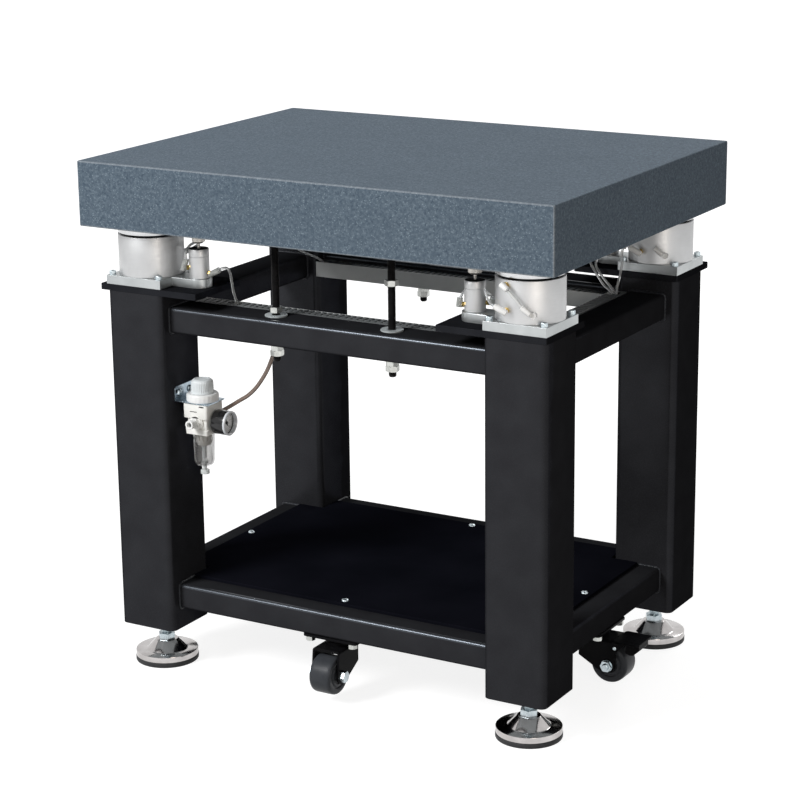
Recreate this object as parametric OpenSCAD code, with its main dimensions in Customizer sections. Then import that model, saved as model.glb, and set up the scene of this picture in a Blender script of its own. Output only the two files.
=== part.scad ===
// Vibration isolation table: a granite slab floats on four air mounts, on a welded steel frame
// with levelling feet and casters. Millimetres. The origin is on the floor, under the centre.
// +X runs along the long side, +Y to the rear and +Z up.

/* [Granite top] */
// Length of the slab, along X
top_l = 800; // [760:10:900]
// Depth of the slab, along Y
top_w = 600; // [560:10:700]
// Thickness of the slab
top_t = 100; // [80:5:120]
// Height of the working surface above the floor
top_z = 810; // [805:1:815]
// Chamfer along the slab's edges
top_chamfer = 2; // [1:0.5:4]

/* [Frame] */
// Distance from the centre to a leg's centre, along X
leg_x = 325; // [310:5:345]
// Distance from the centre to a leg's centre, along Y
leg_y = 222; // [210:1:240]
// Side of the square leg tube
leg_a = 100; // [90:5:100]
// Wall of the leg tube
leg_wall = 4; // [3:1:6]
// Outer corner radius of the leg tube
leg_r = 10; // [6:1:12]
// Height of the leg's bottom end above the floor
leg_z = 68; // [66:1:70]
// Width of a rail tube
rail_w = 60; // [50:5:60]
// Height of a rail tube
rail_h = 40; // [35:1:42]
// Wall of a rail tube
rail_wall = 3; // [2:0.5:4]
// Height of the upper rails' top face
upper_rail_top = 587; // [585:1:589]
// Height of the lower rails' bottom face
lower_rail_bottom = 102; // [102:1:110]
// Thickness of the shelf panel
shelf_t = 5; // [3:0.5:8]

/* [Air mounts] */
// Side of the square base plate
iso_a = 100; // [96:1:100]
// Thickness of the base plate
iso_base_t = 14; // [12:1:16]
// Diameter of the housing and of its cap
iso_d = 100; // [90:1:100]
// Height of the housing above its base plate
iso_housing_h = 62; // [60:1:64]
// Height of the cap
iso_cap_h = 13; // [12:0.5:14]
// Thickness of the black mounting plate on a leg
mount_plate_t = 10; // [8:1:12]
// Distance from a mount's centre to its level valve
valve_reach = 88; // [84:1:96]
// Diameter of a level valve
valve_d = 31; // [28:1:34]

/* [Stop rods] */
// Distance from the centre to a rod, along X
rod_x = 100; // [80:5:140]
// Diameter of a rod
rod_d = 12; // [10:1:12]
// Travel gap between a stop nut and what it meets
stop_gap = 3.5; // [3:0.5:5]

/* [Feet and casters] */
// Diameter of a foot
foot_d = 100; // [80:5:100]
// Diameter of a foot's stud
stud_d = 16; // [14:1:18]
// Diameter of a caster wheel
wheel_d = 60; // [56:1:62]
// Width of a caster wheel
wheel_w = 36; // [32:1:38]
// Height of a caster's axle above the floor
axle_z = 46; // [44:1:48]
// Distance from the swivel axis to the axle
trail = 32; // [28:1:36]

/* [Air preparation] */
// Height of the regulator's port axis
port_z = 408; // [350:1:420]
// Side of the regulator's body
reg_a = 44; // [40:1:44]
// Diameter of the pressure gauge
gauge_d = 38; // [36:1:44]

/* [Cable duct] */
// Side of the square duct
duct_a = 25; // [22:1:30]
// Pitch of the duct's slots
slot_pitch = 10.5; // [10:0.5:15]
// Width of a slot
slot_w = 4; // [3:0.5:5]

/* [Hidden] */

// Fine enough for round tubes and turned parts
$fn = 48;
clear = 0.05;

// Corners as [left or right, front or rear]
front_left = [-1, -1];
front_right = [1, -1];
rear_left = [-1, 1];
rear_right = [1, 1];
corners = [front_left, front_right, rear_left, rear_right];
// Only three mounts have a level valve, as three points set a plane
valve_corners = [front_left, front_right, rear_right];

// Heights up the stack, worked out from the slab downwards
slab_z = top_z - top_t;
cap_z = slab_z - iso_cap_h;
float_gap = 3;
housing_top = cap_z - float_gap;
base_top = housing_top - iso_housing_h;
plate_top = base_top - iso_base_t;
leg_top = plate_top - mount_plate_t;
lower_rail_top = lower_rail_bottom + rail_h;
shelf_top = lower_rail_top + shelf_t;

// Mounting plates: each reaches inwards for the valve and back past the leg
plate_l = 175;
plate_w = 120;
front_left_plate_shift = 11;

// Rails
rail_r = 5;
leg_in_x = leg_x - leg_a / 2;
leg_in_y = leg_y - leg_a / 2;
rail_in_x = leg_x - rail_w / 2;
rail_in_y = leg_y - rail_w / 2;
rod_hole_r = 8;

// Shelf
shelf_lap = 23;
shelf_leg_gap = 3;
shelf_screw_inset = 11.5;
screw_r = 2.5;

// Air mount
iso_screw_at = 43;
iso_screw_r = 3;
iso_screw_head = [5, 6];
chamber_r = 40;
piston_r = 26;
piston_h = 22;
piston_bolt_r = 5;
piston_bolt_top = cap_z + 6;
diaphragm_t = 1.5;
diaphragm_r = 47;
diaphragm_roll = 12;

// Level valve: body, plunger and contact head under the slab
valve_top = 677;
valve_foot_w = 38;
plunger_r = 2.3;
plunger_z = 645;
contact_z = 685;
contact_h = 10;
contact_r = 10;
contact_stud_r = 4;
contact_thread = 12;

// Stop rods
rod_top = slab_z + 25;
rod_bottom = 518;
nut_h = 8.5;
nut_af = 18;
washer = [17, 6.8, 2.5];
washer_top = upper_rail_top + washer[2];
// The rod at the front right has its upper nut backed off up the rod
backed_off_nut_z = 654;

// Feet
rubber_h = 8;
foot_disc_h = 9.5;
foot_cone = [32, 18, 16];
foot_disc_top = rubber_h + foot_disc_h;
stud_hex_z = foot_disc_top + foot_cone[2];
stud_hex_h = 9.5;
stud_hex_af = 24;
stud_top = leg_z + 42;
leg_floor = 8;
weld_nut_h = 13;

// Casters, each as [x, y, direction of the trail]
caster_front = [0, -leg_y, -90];
caster_right = [leg_x, 0, 0];
caster_rear = [0, leg_y, 90];
caster_left = [-leg_x, 0, 180];
casters = [caster_front, caster_right, caster_rear, caster_left];
top_plate = [60, 95, 4];
caster_bolt_at = [22.5, 37.5];
caster_bolt_r = 4;
caster_nut = [13, 8];
plate_under = lower_rail_bottom - top_plate[2];
crown_top = 87;
crown_t = 4;
fork_in = wheel_w / 2 + 2;
fork_t = 4;
fork_out = fork_in + fork_t;
kingpin_r = 8;
axle_r = 5;
pivot = [trail + 13, 77];
pivot_pin_r = 3;
pedal_w = 53;
pedal_t = 3;
pedal_top = 88;

// Regulator, on the inner face of the front left leg
reg_x = -239;
reg_y = -222;
reg_face = -leg_in_x;
bonnet_z = port_z + 29;
bracket_t = 2;
bracket_a = 50;
bonnet_r = 15;
ring_nut = [25, 12];
ring_top = bonnet_z + bracket_t + ring_nut[1];
knob = [17, 22];
spindle_r = 5;
bowl_top = port_z - 20;
bowl_r = 17;
bowl_wall = 2;
bowl_bottom = bowl_top - 54;
drain_r = 3;
gauge_x = reg_x + reg_a / 2;
gauge_back = gauge_x + 3;
gauge_front = gauge_back + 26;
inlet_r = 4.1;
inlet_depth = 12;
inlet_y = reg_y - reg_a / 2 - 17;

// Ducts: front and right lie flush with the rails' tops, the rear one hangs lower
duct_t = 1.5;
duct_z = upper_rail_top - duct_a;
rear_duct_z = duct_z - 9;
// Each duct as [start, end, places on top, places below], where a finger is out for a line
front_duct = [-274.5, 262, [-199, 190], [-126]];
rear_duct = [-274.5, 262, [-262], []];
right_duct = [-147, 163, [150], []];

// Air line routes, chosen by hand: [radius, points]
supply_route = [4, [[-229, -189, 413.5], [-215, -188, 422], [-198, -187, 433], [-176, -185, 448],
    [-154, -183, 474], [-138, -181, 505], [-129, -180, 535], [-126, -180, 558], [-126, -180, 570]]];
main_route = [3, [[-199, -180, 574], [-60, -180, 574], [100, -180, 574], [250, -180, 574],
    [264, -176, 574], [275, -163, 574], [281, -148, 574], [282, -120, 574], [282, 0, 574],
    [282, 104, 574]]];
front_left_feed = [2, [[-203, -218, 646], [-198, -216, 648.5], [-194, -211, 648], [-193, -205, 640],
    [-195, -198, 626], [-198, -190, 608], [-199, -182, 592], [-199, -180, 576]]];
front_left_link = [2, [[-254, -231, 659], [-256, -230, 668], [-258, -219, 676], [-260, -201, 679],
    [-267, -180, 675], [-278, -167, 668], [-290, -163, 661], [-298, -163, 657.5]]];
front_right_link = [1.6, [[299, -281, 656.5], [292, -281, 661], [286, -279, 670], [280, -273, 676],
    [275, -264, 675], [273, -254, 669], [271, -242, 663], [268, -229, 658], [262, -218, 655],
    [260, -211, 649]]];
front_right_bridge = [2, [[318.5, -281, 682], [326, -281, 675], [334, -280.5, 667.5],
    [341, -279.5, 659]]];
front_right_feed = [2, [[217, -230, 649], [219, -225, 656], [217, -208, 657], [208, -184, 652],
    [197, -161, 640], [191, -150, 620], [189, -152, 602], [190, -162, 593], [190, -171, 590],
    [190, -178, 584], [190, -180, 576]]];
rear_right_feed = [2, [[214.5, 214, 651], [213, 208, 657], [214, 192, 654], [223, 171, 641],
    [235, 159, 627], [250, 156, 607], [262, 153, 595], [270, 149.5, 591.5], [275, 147.5, 588],
    [278, 146, 582], [280, 138, 577], [281, 122, 575], [282, 104, 574]]];
rear_right_share = [2, [[261, 232, 652], [262, 222, 657], [256, 198, 652], [242, 174, 637],
    [241, 165, 625], [255, 162, 606], [266, 160, 596], [272, 158, 591], [277, 155.5, 586],
    [281, 152, 580], [284, 149, 576]]];
rear_right_link = [2, [[299, 163, 657.5], [292, 162, 660], [288, 161, 653], [288, 160, 634],
    [285, 159, 612], [282, 157, 597], [283, 152, 586], [285, 147, 576]]];
rear_left_feed = [2, [[284, 150, 572], [284, 159, 569], [279, 167, 566], [266, 176, 564],
    [250, 180, 563], [80, 180, 563], [-90, 180, 563], [-242, 180, 563], [-256, 180, 565],
    [-262, 179, 570], [-265, 174, 577], [-268, 169, 582], [-278, 164, 588], [-297, 161, 594],
    [-312, 160, 603], [-323, 159, 620], [-328, 159, 638], [-326, 160, 652], [-319, 163, 656]]];
air_routes = [supply_route, main_route, front_left_feed, front_left_link, front_right_link,
    front_right_bridge, front_right_feed, rear_right_feed, rear_right_share, rear_right_link,
    rear_left_feed];
// How far a line's end is pushed into its fitting
seat = 3;
// Tees and the reducer inside the ducts
tees = [[-199, -180, 574], [-126, -180, 574], [190, -180, 574], [282, 104, 574], [285, 148, 573]];

// The two ports of a mount, each as [foot inside the wall, end of the brass]
port_low = [[-11.8, -45.5, 651], [-13.5, -58, 651]];
port_high = [[-11.8, -45.5, 687], [-13.5, -58, 687]];

function unit(v) = v / norm(v);
function tangent(p, i) = unit(p[min(i + 1, len(p) - 1)] - p[max(i - 1, 0)]);
// Carries a direction along the route without twist
function side_along(p, i) = i == 0
    ? unit(cross(tangent(p, 0), abs(tangent(p, 0)[2]) > 0.9 ? [0, 1, 0] : [0, 0, 1]))
    : let (s = side_along(p, i - 1), t = tangent(p, i)) unit(s - (s * t) * t);

// A rounded rectangle made of true arcs
module round_rect(w, h, r) {
    square([w - 2 * r, h], center = true);
    square([w, h - 2 * r], center = true);
    for (x = [-1, 1], y = [-1, 1]) translate([x * (w / 2 - r), y * (h / 2 - r)]) circle(r);
}

module hexagon(af, h) {
    cylinder(r = af / 2 / cos(30), h = h, $fn = 6);
}

// A straight round bar from one point to another
module bar(a, b, r) {
    d = b - a;
    translate(a) rotate([0, acos(d[2] / norm(d)), atan2(d[1], d[0])]) cylinder(r = r, h = norm(d));
}

function pushed(a, b) = a + seat * unit(a - b);
function seated(p) = let (n = len(p))
    [pushed(p[0], p[1]), each p, pushed(p[n - 1], p[n - 2])];

// A tube of eight sides swept along points
module swept(route, sides = 8) {
    r = route[0];
    p = seated(route[1]);
    n = len(p);
    rings = [for (i = [0:n - 1]) let (t = tangent(p, i), s = side_along(p, i), u = cross(t, s))
        for (k = [0:sides - 1]) p[i] + r * (cos(360 * k / sides) * s + sin(360 * k / sides) * u)];
    walls = [for (i = [0:n - 2], k = [0:sides - 1]) let (a = i * sides + k,
        b = i * sides + (k + 1) % sides) each [[a, b, b + sides], [a, b + sides, a + sides]]];
    ends = [[for (k = [sides - 1:-1:0]) k], [for (k = [0:sides - 1]) (n - 1) * sides + k]];
    polyhedron(points = rings, faces = [for (f = concat(walls, ends)) [for (j = [len(f) - 1:-1:0]) f[j]]]);
}

module at_corner(c) {
    translate([c[0] * leg_x, c[1] * leg_y, 0]) children();
}

// Frame

module at_corners() {
    for (c = corners) at_corner(c) children();
}

module legs() {
    color("#26282b") difference() {
        at_corners() translate([0, 0, leg_z]) linear_extrude(leg_top - leg_z) difference() {
            round_rect(leg_a, leg_a, leg_r);
            round_rect(leg_a - 2 * leg_wall, leg_a - 2 * leg_wall, leg_r - leg_wall);
        }
        at_bracket_screws() cylinder(r = screw_r, h = 10);
    }
}

// The plate welded inside each leg's lower end, with the nut that takes the foot's stud
module leg_foot_plates() {
    inner = leg_a - 2 * leg_wall;
    color("#26282b") at_corners() translate([0, 0, leg_z]) difference() {
        union() {
            linear_extrude(leg_floor) round_rect(inner, inner, leg_r - leg_wall);
            hexagon(stud_hex_af, leg_floor + weld_nut_h);
        }
        translate([0, 0, -1]) cylinder(r = stud_d / 2 + clear, h = leg_floor + weld_nut_h + 2);
    }
}

// A rectangular tube along X, centred on its length
module rail(length) {
    rotate([90, 0, 90]) translate([0, 0, -length / 2]) linear_extrude(length) difference() {
        round_rect(rail_w, rail_h, rail_r);
        round_rect(rail_w - 2 * rail_wall, rail_h - 2 * rail_wall, rail_r - rail_wall);
    }
}

module rail_frame(z) {
    for (s = [-1, 1]) {
        translate([0, s * leg_y, z]) rail(2 * leg_in_x);
        translate([s * leg_x, 0, z]) rotate([0, 0, 90]) rail(2 * leg_in_y);
    }
}

module at_rods() {
    for (s = [-1, 1], c = [-1, 1]) translate([s * rod_x, c * leg_y, 0]) children();
}

module upper_rails() {
    color("#222427") difference() {
        rail_frame(upper_rail_top - rail_h / 2);
        at_rods() translate([0, 0, upper_rail_top - rail_h - 1]) cylinder(r = rod_hole_r, h = rail_h + 2);
    }
}

module at_casters() {
    for (c = casters) translate([c[0], c[1], 0]) rotate([0, 0, c[2]]) children();
}

module at_caster_bolts() {
    at_casters() for (s = [-1, 1], c = [-1, 1])
        translate([s * caster_bolt_at[0], c * caster_bolt_at[1], 0]) children();
}

module at_shelf_screws() {
    for (s = [-1, 1]) {
        translate([s * (rail_in_x + shelf_screw_inset), 0, 0]) children();
        translate([0, s * (rail_in_y + shelf_screw_inset), 0]) children();
    }
}

module lower_rails() {
    color("#222427") difference() {
        rail_frame(lower_rail_bottom + rail_h / 2);
        at_shelf_screws() translate([0, 0, lower_rail_top - 5]) cylinder(r = screw_r, h = 10);
        at_caster_bolts() translate([0, 0, lower_rail_bottom - 1])
            cylinder(r = caster_bolt_r + 0.25, h = 6);
    }
}

module isolator_mounting_plates() {
    color("#1d1e20") for (c = corners) at_corner(c) {
        shift = c == front_left ? front_left_plate_shift : 0;
        outer = c[0] * (leg_a / 2 + shift);
        difference() {
            translate([c[0] > 0 ? outer - plate_l : outer, -leg_a / 2, leg_top])
                cube([plate_l, plate_w, mount_plate_t]);
            iso_screw_holes(leg_top - 1, mount_plate_t + 2);
        }
    }
}

module shelf_panel() {
    x = rail_in_x + shelf_lap;
    y = rail_in_y + shelf_lap;
    nx = leg_in_x - shelf_leg_gap;
    ny = leg_in_y - shelf_leg_gap;
    color("#1b2028") difference() {
        translate([0, 0, lower_rail_top]) linear_extrude(shelf_t)
            polygon([[-nx, -y], [nx, -y], [nx, -ny], [x, -ny], [x, ny], [nx, ny],
                [nx, y], [-nx, y], [-nx, ny], [-x, ny], [-x, -ny], [-nx, -ny]]);
        at_shelf_screws() translate([0, 0, lower_rail_top - 1]) cylinder(r = screw_r, h = shelf_t + 2);
    }
}

module pan_screw(length) {
    cylinder(r = screw_r, h = length);
    translate([0, 0, length]) cylinder(r1 = 4.8, r2 = 3, h = 2.6);
}

module pan_head_screws() {
    color("#c9ccce") {
        at_shelf_screws() translate([0, 0, lower_rail_top - rail_wall]) pan_screw(shelf_t + rail_wall);
        at_bracket_screws() pan_screw(bracket_t + leg_wall);
    }
}

// Cable ducts: base on the rail, slotted walls above and below, cover on the inner side

module slotted_wall(x0, x1, entries) {
    count = floor((x1 - x0 - 10) / slot_pitch);
    linear_extrude(duct_t) difference() {
        translate([x0, 0]) square([x1 - x0, duct_a - duct_t]);
        for (i = [0:count - 1])
            translate([(x0 + x1) / 2 + (i - (count - 1) / 2) * slot_pitch - slot_w / 2, 4])
                square([slot_w, duct_a]);
        for (x = entries) translate([x - 9, 4]) square([18, duct_a]);
    }
}

// One tray along X with its base in the plane y = 0 and its bottom at z = 0
module tray(d) {
    translate([d[0], 0, 0]) cube([d[1] - d[0], duct_t, duct_a]);
    slotted_wall(d[0], d[1], d[3]);
    translate([0, 0, duct_a - duct_t]) slotted_wall(d[0], d[1], d[2]);
}

module cover(d) {
    translate([d[0], duct_a - duct_t, 0]) cube([d[1] - d[0], duct_t, duct_a]);
}

module at_front_duct() {
    translate([0, -rail_in_y, duct_z]) children();
}

module at_rear_duct() {
    translate([0, rail_in_y, rear_duct_z]) mirror([0, 1, 0]) children();
}

module at_right_duct() {
    translate([rail_in_x, 0, duct_z]) rotate([0, 0, 90]) children();
}

module cable_ducts() {
    color("#7d8486") {
        at_front_duct() tray(front_duct);
        at_rear_duct() tray(rear_duct);
        at_right_duct() tray(right_duct);
    }
}

module duct_covers() {
    color("#848b8d") {
        at_front_duct() cover(front_duct);
        at_rear_duct() cover(rear_duct);
        at_right_duct() cover(right_duct);
    }
}

module rail_washers() {
    color("#b9bdbf") at_rods() translate([0, 0, upper_rail_top]) difference() {
        cylinder(r = washer[0], h = washer[2]);
        translate([0, 0, -1]) cylinder(r = washer[1], h = washer[2] + 2);
    }
}

// Air mounts

module iso_screw_holes(z, h) {
    for (x = [-1, 1], y = [-1, 1])
        translate([x * iso_screw_at, y * iso_screw_at, z]) cylinder(r = iso_screw_r, h = h);
}

function has_valve(c) = len([for (v = valve_corners) if (v == c) v]) > 0;

module isolator_base_plates() {
    color("#c3c7c9") for (c = corners) at_corner(c) difference() {
        translate([0, 0, plate_top]) linear_extrude(iso_base_t) {
            square(iso_a, center = true);
            if (has_valve(c)) mirror([c[0] > 0 ? 1 : 0, 0]) {
                translate([0, -valve_foot_w / 2]) square([valve_reach, valve_foot_w]);
                translate([valve_reach, 0]) circle(valve_foot_w / 2);
            }
        }
        iso_screw_holes(plate_top - 1, iso_base_t + 2);
    }
}

module isolator_base_screws() {
    color("#d5d8da") for (c = corners) at_corner(c) {
        iso_screw_holes(leg_top, mount_plate_t + iso_base_t);
        for (x = [-1, 1], y = [-1, 1]) translate([x * iso_screw_at, y * iso_screw_at, base_top])
            difference() {
                cylinder(r = iso_screw_head[0], h = iso_screw_head[1]);
                translate([0, 0, 2.5]) hexagon(5, 10);
            }
    }
}

module isolator_housings() {
    color("#d6d9db") at_corners() translate([0, 0, base_top]) difference() {
        cylinder(r = iso_d / 2, h = iso_housing_h, $fn = 96);
        translate([0, 0, 8]) cylinder(r = chamber_r, h = iso_housing_h, $fn = 96);
        translate([0, 0, iso_housing_h - diaphragm_t])
            cylinder(r = diaphragm_r, h = diaphragm_t + 1, $fn = 96);
    }
}

// A rolling rubber diaphragm: its flange lies in the housing's rim, its middle is clamped on the
// piston, and a fold hangs in the gap between the piston and the chamber's wall
module isolator_diaphragms() {
    inner = piston_r + 1;
    outer = chamber_r - 0.5;
    t = diaphragm_t;
    color("#17181a") at_corners() translate([0, 0, housing_top]) rotate_extrude($fn = 96)
        polygon([[piston_bolt_r, t], [inner + t, t], [inner + t, -diaphragm_roll + t],
            [outer - t, -diaphragm_roll + t], [outer - t, 0], [diaphragm_r, 0], [diaphragm_r, -t],
            [outer, -t], [outer, -diaphragm_roll], [inner, -diaphragm_roll], [inner, 0],
            [piston_bolt_r, 0]]);
}

// The cap has a boss beneath that clamps the diaphragm onto the piston
module isolator_top_caps() {
    color("#dcdfe1") at_corners() difference() {
        union() {
            translate([0, 0, cap_z]) cylinder(r = iso_d / 2, h = iso_cap_h, $fn = 96);
            translate([0, 0, housing_top + diaphragm_t])
                cylinder(r = piston_r, h = float_gap - diaphragm_t + 1);
        }
        translate([0, 0, housing_top]) cylinder(r = piston_bolt_r, h = piston_bolt_top - housing_top);
    }
}

module isolator_pistons() {
    color("#c8cbcd") at_corners() translate([0, 0, housing_top - piston_h]) {
        cylinder(r = piston_r, h = piston_h);
        cylinder(r = piston_bolt_r, h = piston_bolt_top - housing_top + piston_h);
    }
}

module at_valves() {
    for (c = valve_corners) at_corner(c) translate([-c[0] * valve_reach, 0, 0]) children();
}

module level_valve_bodies() {
    color("#cfd3d5") at_valves() difference() {
        translate([0, 0, base_top]) cylinder(r = valve_d / 2, h = valve_top - base_top);
        translate([0, 0, plunger_z - 6]) cylinder(r = plunger_r + clear, h = valve_top);
        translate([0, 0, valve_top - 1]) cylinder(r = valve_d / 2 - 1, h = 2);
    }
}

module level_valve_plungers() {
    color("#a9a49a") at_valves() translate([0, 0, plunger_z])
        cylinder(r = plunger_r, h = contact_z - plunger_z);
}

module level_contact_heads() {
    color("#9c968c") at_valves() translate([0, 0, contact_z]) {
        cylinder(r = contact_r, h = contact_h);
        cylinder(r = contact_stud_r, h = slab_z + contact_thread - contact_z);
    }
}

// Granite slab with blind holes for the rods and the contact heads

module chamfered(w, h) {
    c = top_chamfer;
    polygon([[-w / 2 + c, -h / 2], [w / 2 - c, -h / 2], [w / 2, -h / 2 + c], [w / 2, h / 2 - c],
        [w / 2 - c, h / 2], [-w / 2 + c, h / 2], [-w / 2, h / 2 - c], [-w / 2, -h / 2 + c]]);
}

module granite_top() {
    color("#5b6674") difference() {
        translate([0, 0, slab_z + top_t / 2]) intersection() {
            linear_extrude(top_t, center = true) chamfered(top_l, top_w);
            rotate([90, 0, 0]) linear_extrude(top_w, center = true) chamfered(top_l, top_t);
            rotate([90, 0, 90]) linear_extrude(top_l, center = true) chamfered(top_w, top_t);
        }
        at_rods() translate([0, 0, slab_z - 1]) cylinder(r = rod_d / 2, h = rod_top - slab_z + 1);
        at_valves() translate([0, 0, slab_z - 1]) cylinder(r = contact_stud_r, h = contact_thread + 1);
    }
}

// Stop rods

module stop_rods() {
    color("#161718") at_rods() translate([0, 0, rod_bottom]) {
        translate([0, 0, 1.5]) cylinder(r = rod_d / 2, h = rod_top - rod_bottom - 1.5);
        cylinder(r1 = rod_d / 2 - 1.5, r2 = rod_d / 2, h = 1.5);
    }
}

module rod_nut(turn) {
    rotate([0, 0, turn]) difference() {
        hexagon(nut_af, nut_h);
        translate([0, 0, -1]) cylinder(r = rod_d / 2, h = nut_h + 2);
    }
}

module stop_rod_nuts() {
    under = upper_rail_top - rail_h - stop_gap;
    color("#c2c4bf") for (s = [-1, 1], c = [-1, 1]) translate([s * rod_x, c * leg_y, 0]) {
        backed_off = s == 1 && c == -1;
        translate([0, 0, backed_off ? backed_off_nut_z : washer_top + stop_gap]) rod_nut(20 + 10 * s);
        translate([0, 0, under - nut_h]) rod_nut(8);
        translate([0, 0, under - 2 * nut_h]) rod_nut(38);
    }
}

// Feet

module foot_base(c) {
    color("#cdd0d3") at_corner(c) difference() {
        union() {
            translate([0, 0, rubber_h]) cylinder(r = foot_d / 2 - 0.5, h = foot_disc_h, $fn = 96);
            translate([0, 0, foot_disc_top]) cylinder(r1 = foot_cone[0], r2 = foot_cone[1], h = foot_cone[2]);
        }
        translate([0, 0, rubber_h + 4]) cylinder(r = stud_d / 2 + clear, h = 40);
    }
}

module foot_rubber(c) {
    color("#2b2c2e") at_corner(c) cylinder(r = foot_d / 2, h = rubber_h, $fn = 96);
}

module foot_stud(c) {
    color("#b4c3c9") at_corner(c) {
        translate([0, 0, rubber_h + 5]) cylinder(r = stud_d / 2, h = stud_top - rubber_h - 5);
        translate([0, 0, stud_hex_z + 0.3]) hexagon(stud_hex_af, stud_hex_h);
    }
}

// Casters, drawn with the trail along X

module caster_top_plates() {
    color("#1a1b1c") at_casters() {
        difference() {
            translate([-top_plate[0] / 2, -top_plate[1] / 2, plate_under]) cube(top_plate);
            for (s = [-1, 1], c = [-1, 1])
                translate([s * caster_bolt_at[0], c * caster_bolt_at[1], plate_under - 1])
                    cylinder(r = caster_bolt_r + 0.25, h = 6);
        }
        // Bearing race, kingpin and its head under the crown
        translate([0, 0, crown_top + 0.3]) cylinder(r = 22, h = plate_under - crown_top - 0.3);
        translate([0, 0, crown_top - crown_t - 3.3]) cylinder(r = 12, h = 3);
        translate([0, 0, crown_top - crown_t - 3.3]) cylinder(r = kingpin_r, h = 12);
    }
}

module caster_bolts() {
    color("#c6c3bd") at_caster_bolts() {
        translate([0, 0, plate_under - caster_nut[1]]) hexagon(caster_nut[0], caster_nut[1]);
        translate([0, 0, plate_under]) cylinder(r = caster_bolt_r, h = top_plate[2] + rail_wall + 1);
    }
}

module caster_place(c) {
    translate([c[0], c[1], 0]) rotate([0, 0, c[2]]) children();
}

// A side plate's outline in the plane of trail and height; a braked fork has an ear for the pivot
module fork_side(braked) {
    square_top = [[-16, 56], [-16, crown_top], [39, crown_top], [42, 62], [trail + 11, axle_z],
        [trail, axle_z - 12], [16, 36]];
    polygon(square_top);
    translate([trail, axle_z]) circle(12);
    if (braked) polygon([[30, 70], [36, crown_top - 1], [pivot[0], crown_top - 3],
        [pivot[0] + 6, pivot[1]], [pivot[0], pivot[1] - 6]]);
}

module caster_fork(c, braked) {
    color("#1b1c1d") caster_place(c) difference() {
        union() {
            translate([-16, -fork_out, crown_top - crown_t]) cube([55, 2 * fork_out, crown_t]);
            for (s = [-1, 1]) translate([0, s > 0 ? fork_out : -fork_in, 0])
                rotate([90, 0, 0]) linear_extrude(fork_t) fork_side(braked);
            // Axle bolt with its head and its nut
            bar([trail, -fork_out - 8, axle_z], [trail, fork_out + 1, axle_z], axle_r);
            translate([trail, fork_out, axle_z]) rotate([-90, 0, 0]) hexagon(16, 7);
            translate([trail, -fork_out, axle_z]) rotate([90, 0, 0]) hexagon(16, 6);
            if (braked) for (s = [-1, 1])
                bar([pivot[0], s * fork_out, pivot[1]], [pivot[0], s * (fork_out + 4), pivot[1]],
                    pivot_pin_r);
        }
        translate([0, 0, crown_top - crown_t - 1]) cylinder(r = kingpin_r + clear, h = crown_t + 2);
    }
}

module caster_wheel(c) {
    r = wheel_d / 2;
    w = wheel_w / 2;
    bore = axle_r + clear;
    color("#222325") caster_place(c) translate([trail, 0, axle_z]) rotate([90, 0, 0])
        rotate_extrude($fn = 72) polygon([[bore, -w - 1], [9, -w - 1], [9, -w + 2], [13, -w + 2],
            [13, -w], [17, -w], [17, -w + 2], [20, -w + 2], [20, -w], [r - 3, -w], [r - 0.8, -w + 2.2],
            [r, -w + 6], [r, w - 6], [r - 0.8, w - 2.2], [r - 3, w], [20, w], [20, w - 2],
            [17, w - 2], [17, w], [13, w], [13, w - 2], [9, w - 2], [9, w + 1], [bore, w + 1]]);
}

// Pedal plate, two pivot cheeks and the brake block that drops onto the tread
module brake_pedal(c) {
    color("#1d1f22") caster_place(c) {
        translate([41, -pedal_w / 2, pedal_top - pedal_t]) cube([44, pedal_w, pedal_t]);
        difference() {
            for (s = [-1, 1]) translate([0, s > 0 ? pedal_w / 2 : -pedal_w / 2 + 2, 0])
                rotate([90, 0, 0]) linear_extrude(2)
                    polygon([[41, pedal_top - 1], [39, 78], [43, 71], [50, 71], [64, pedal_top - 1]]);
            bar([pivot[0], -40, pivot[1]], [pivot[0], 40, pivot[1]], pivot_pin_r + clear);
        }
        translate([0, 17, 0]) rotate([90, 0, 0]) linear_extrude(34)
            polygon([[59, pedal_top - 1], [59, 69], [66, 66], [72, 67], [82, 76],
                [82, pedal_top - 1]]);
    }
}

// Air preparation on the front left leg

module at_bracket_screws() {
    for (y = [-14, 14]) translate([reg_face - leg_wall, reg_y + y, bonnet_z + 13])
        rotate([0, 90, 0]) children();
}

module regulator_bracket() {
    color("#a9bccb") difference() {
        union() {
            translate([reg_face, reg_y - bracket_a / 2, bonnet_z]) cube([bracket_t, bracket_a, 24]);
            translate([reg_face, reg_y - bracket_a / 2, bonnet_z])
                cube([reg_x - reg_face + bracket_a / 2, bracket_a, bracket_t]);
        }
        translate([reg_x, reg_y, bonnet_z - 1]) cylinder(r = bonnet_r + 0.2, h = bracket_t + 2);
        at_bracket_screws() cylinder(r = screw_r, h = 10);
        translate([reg_face - 1, reg_y - 20.5, bonnet_z + 16]) rotate([0, 90, 0]) cylinder(r = 3, h = 5);
    }
}

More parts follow.
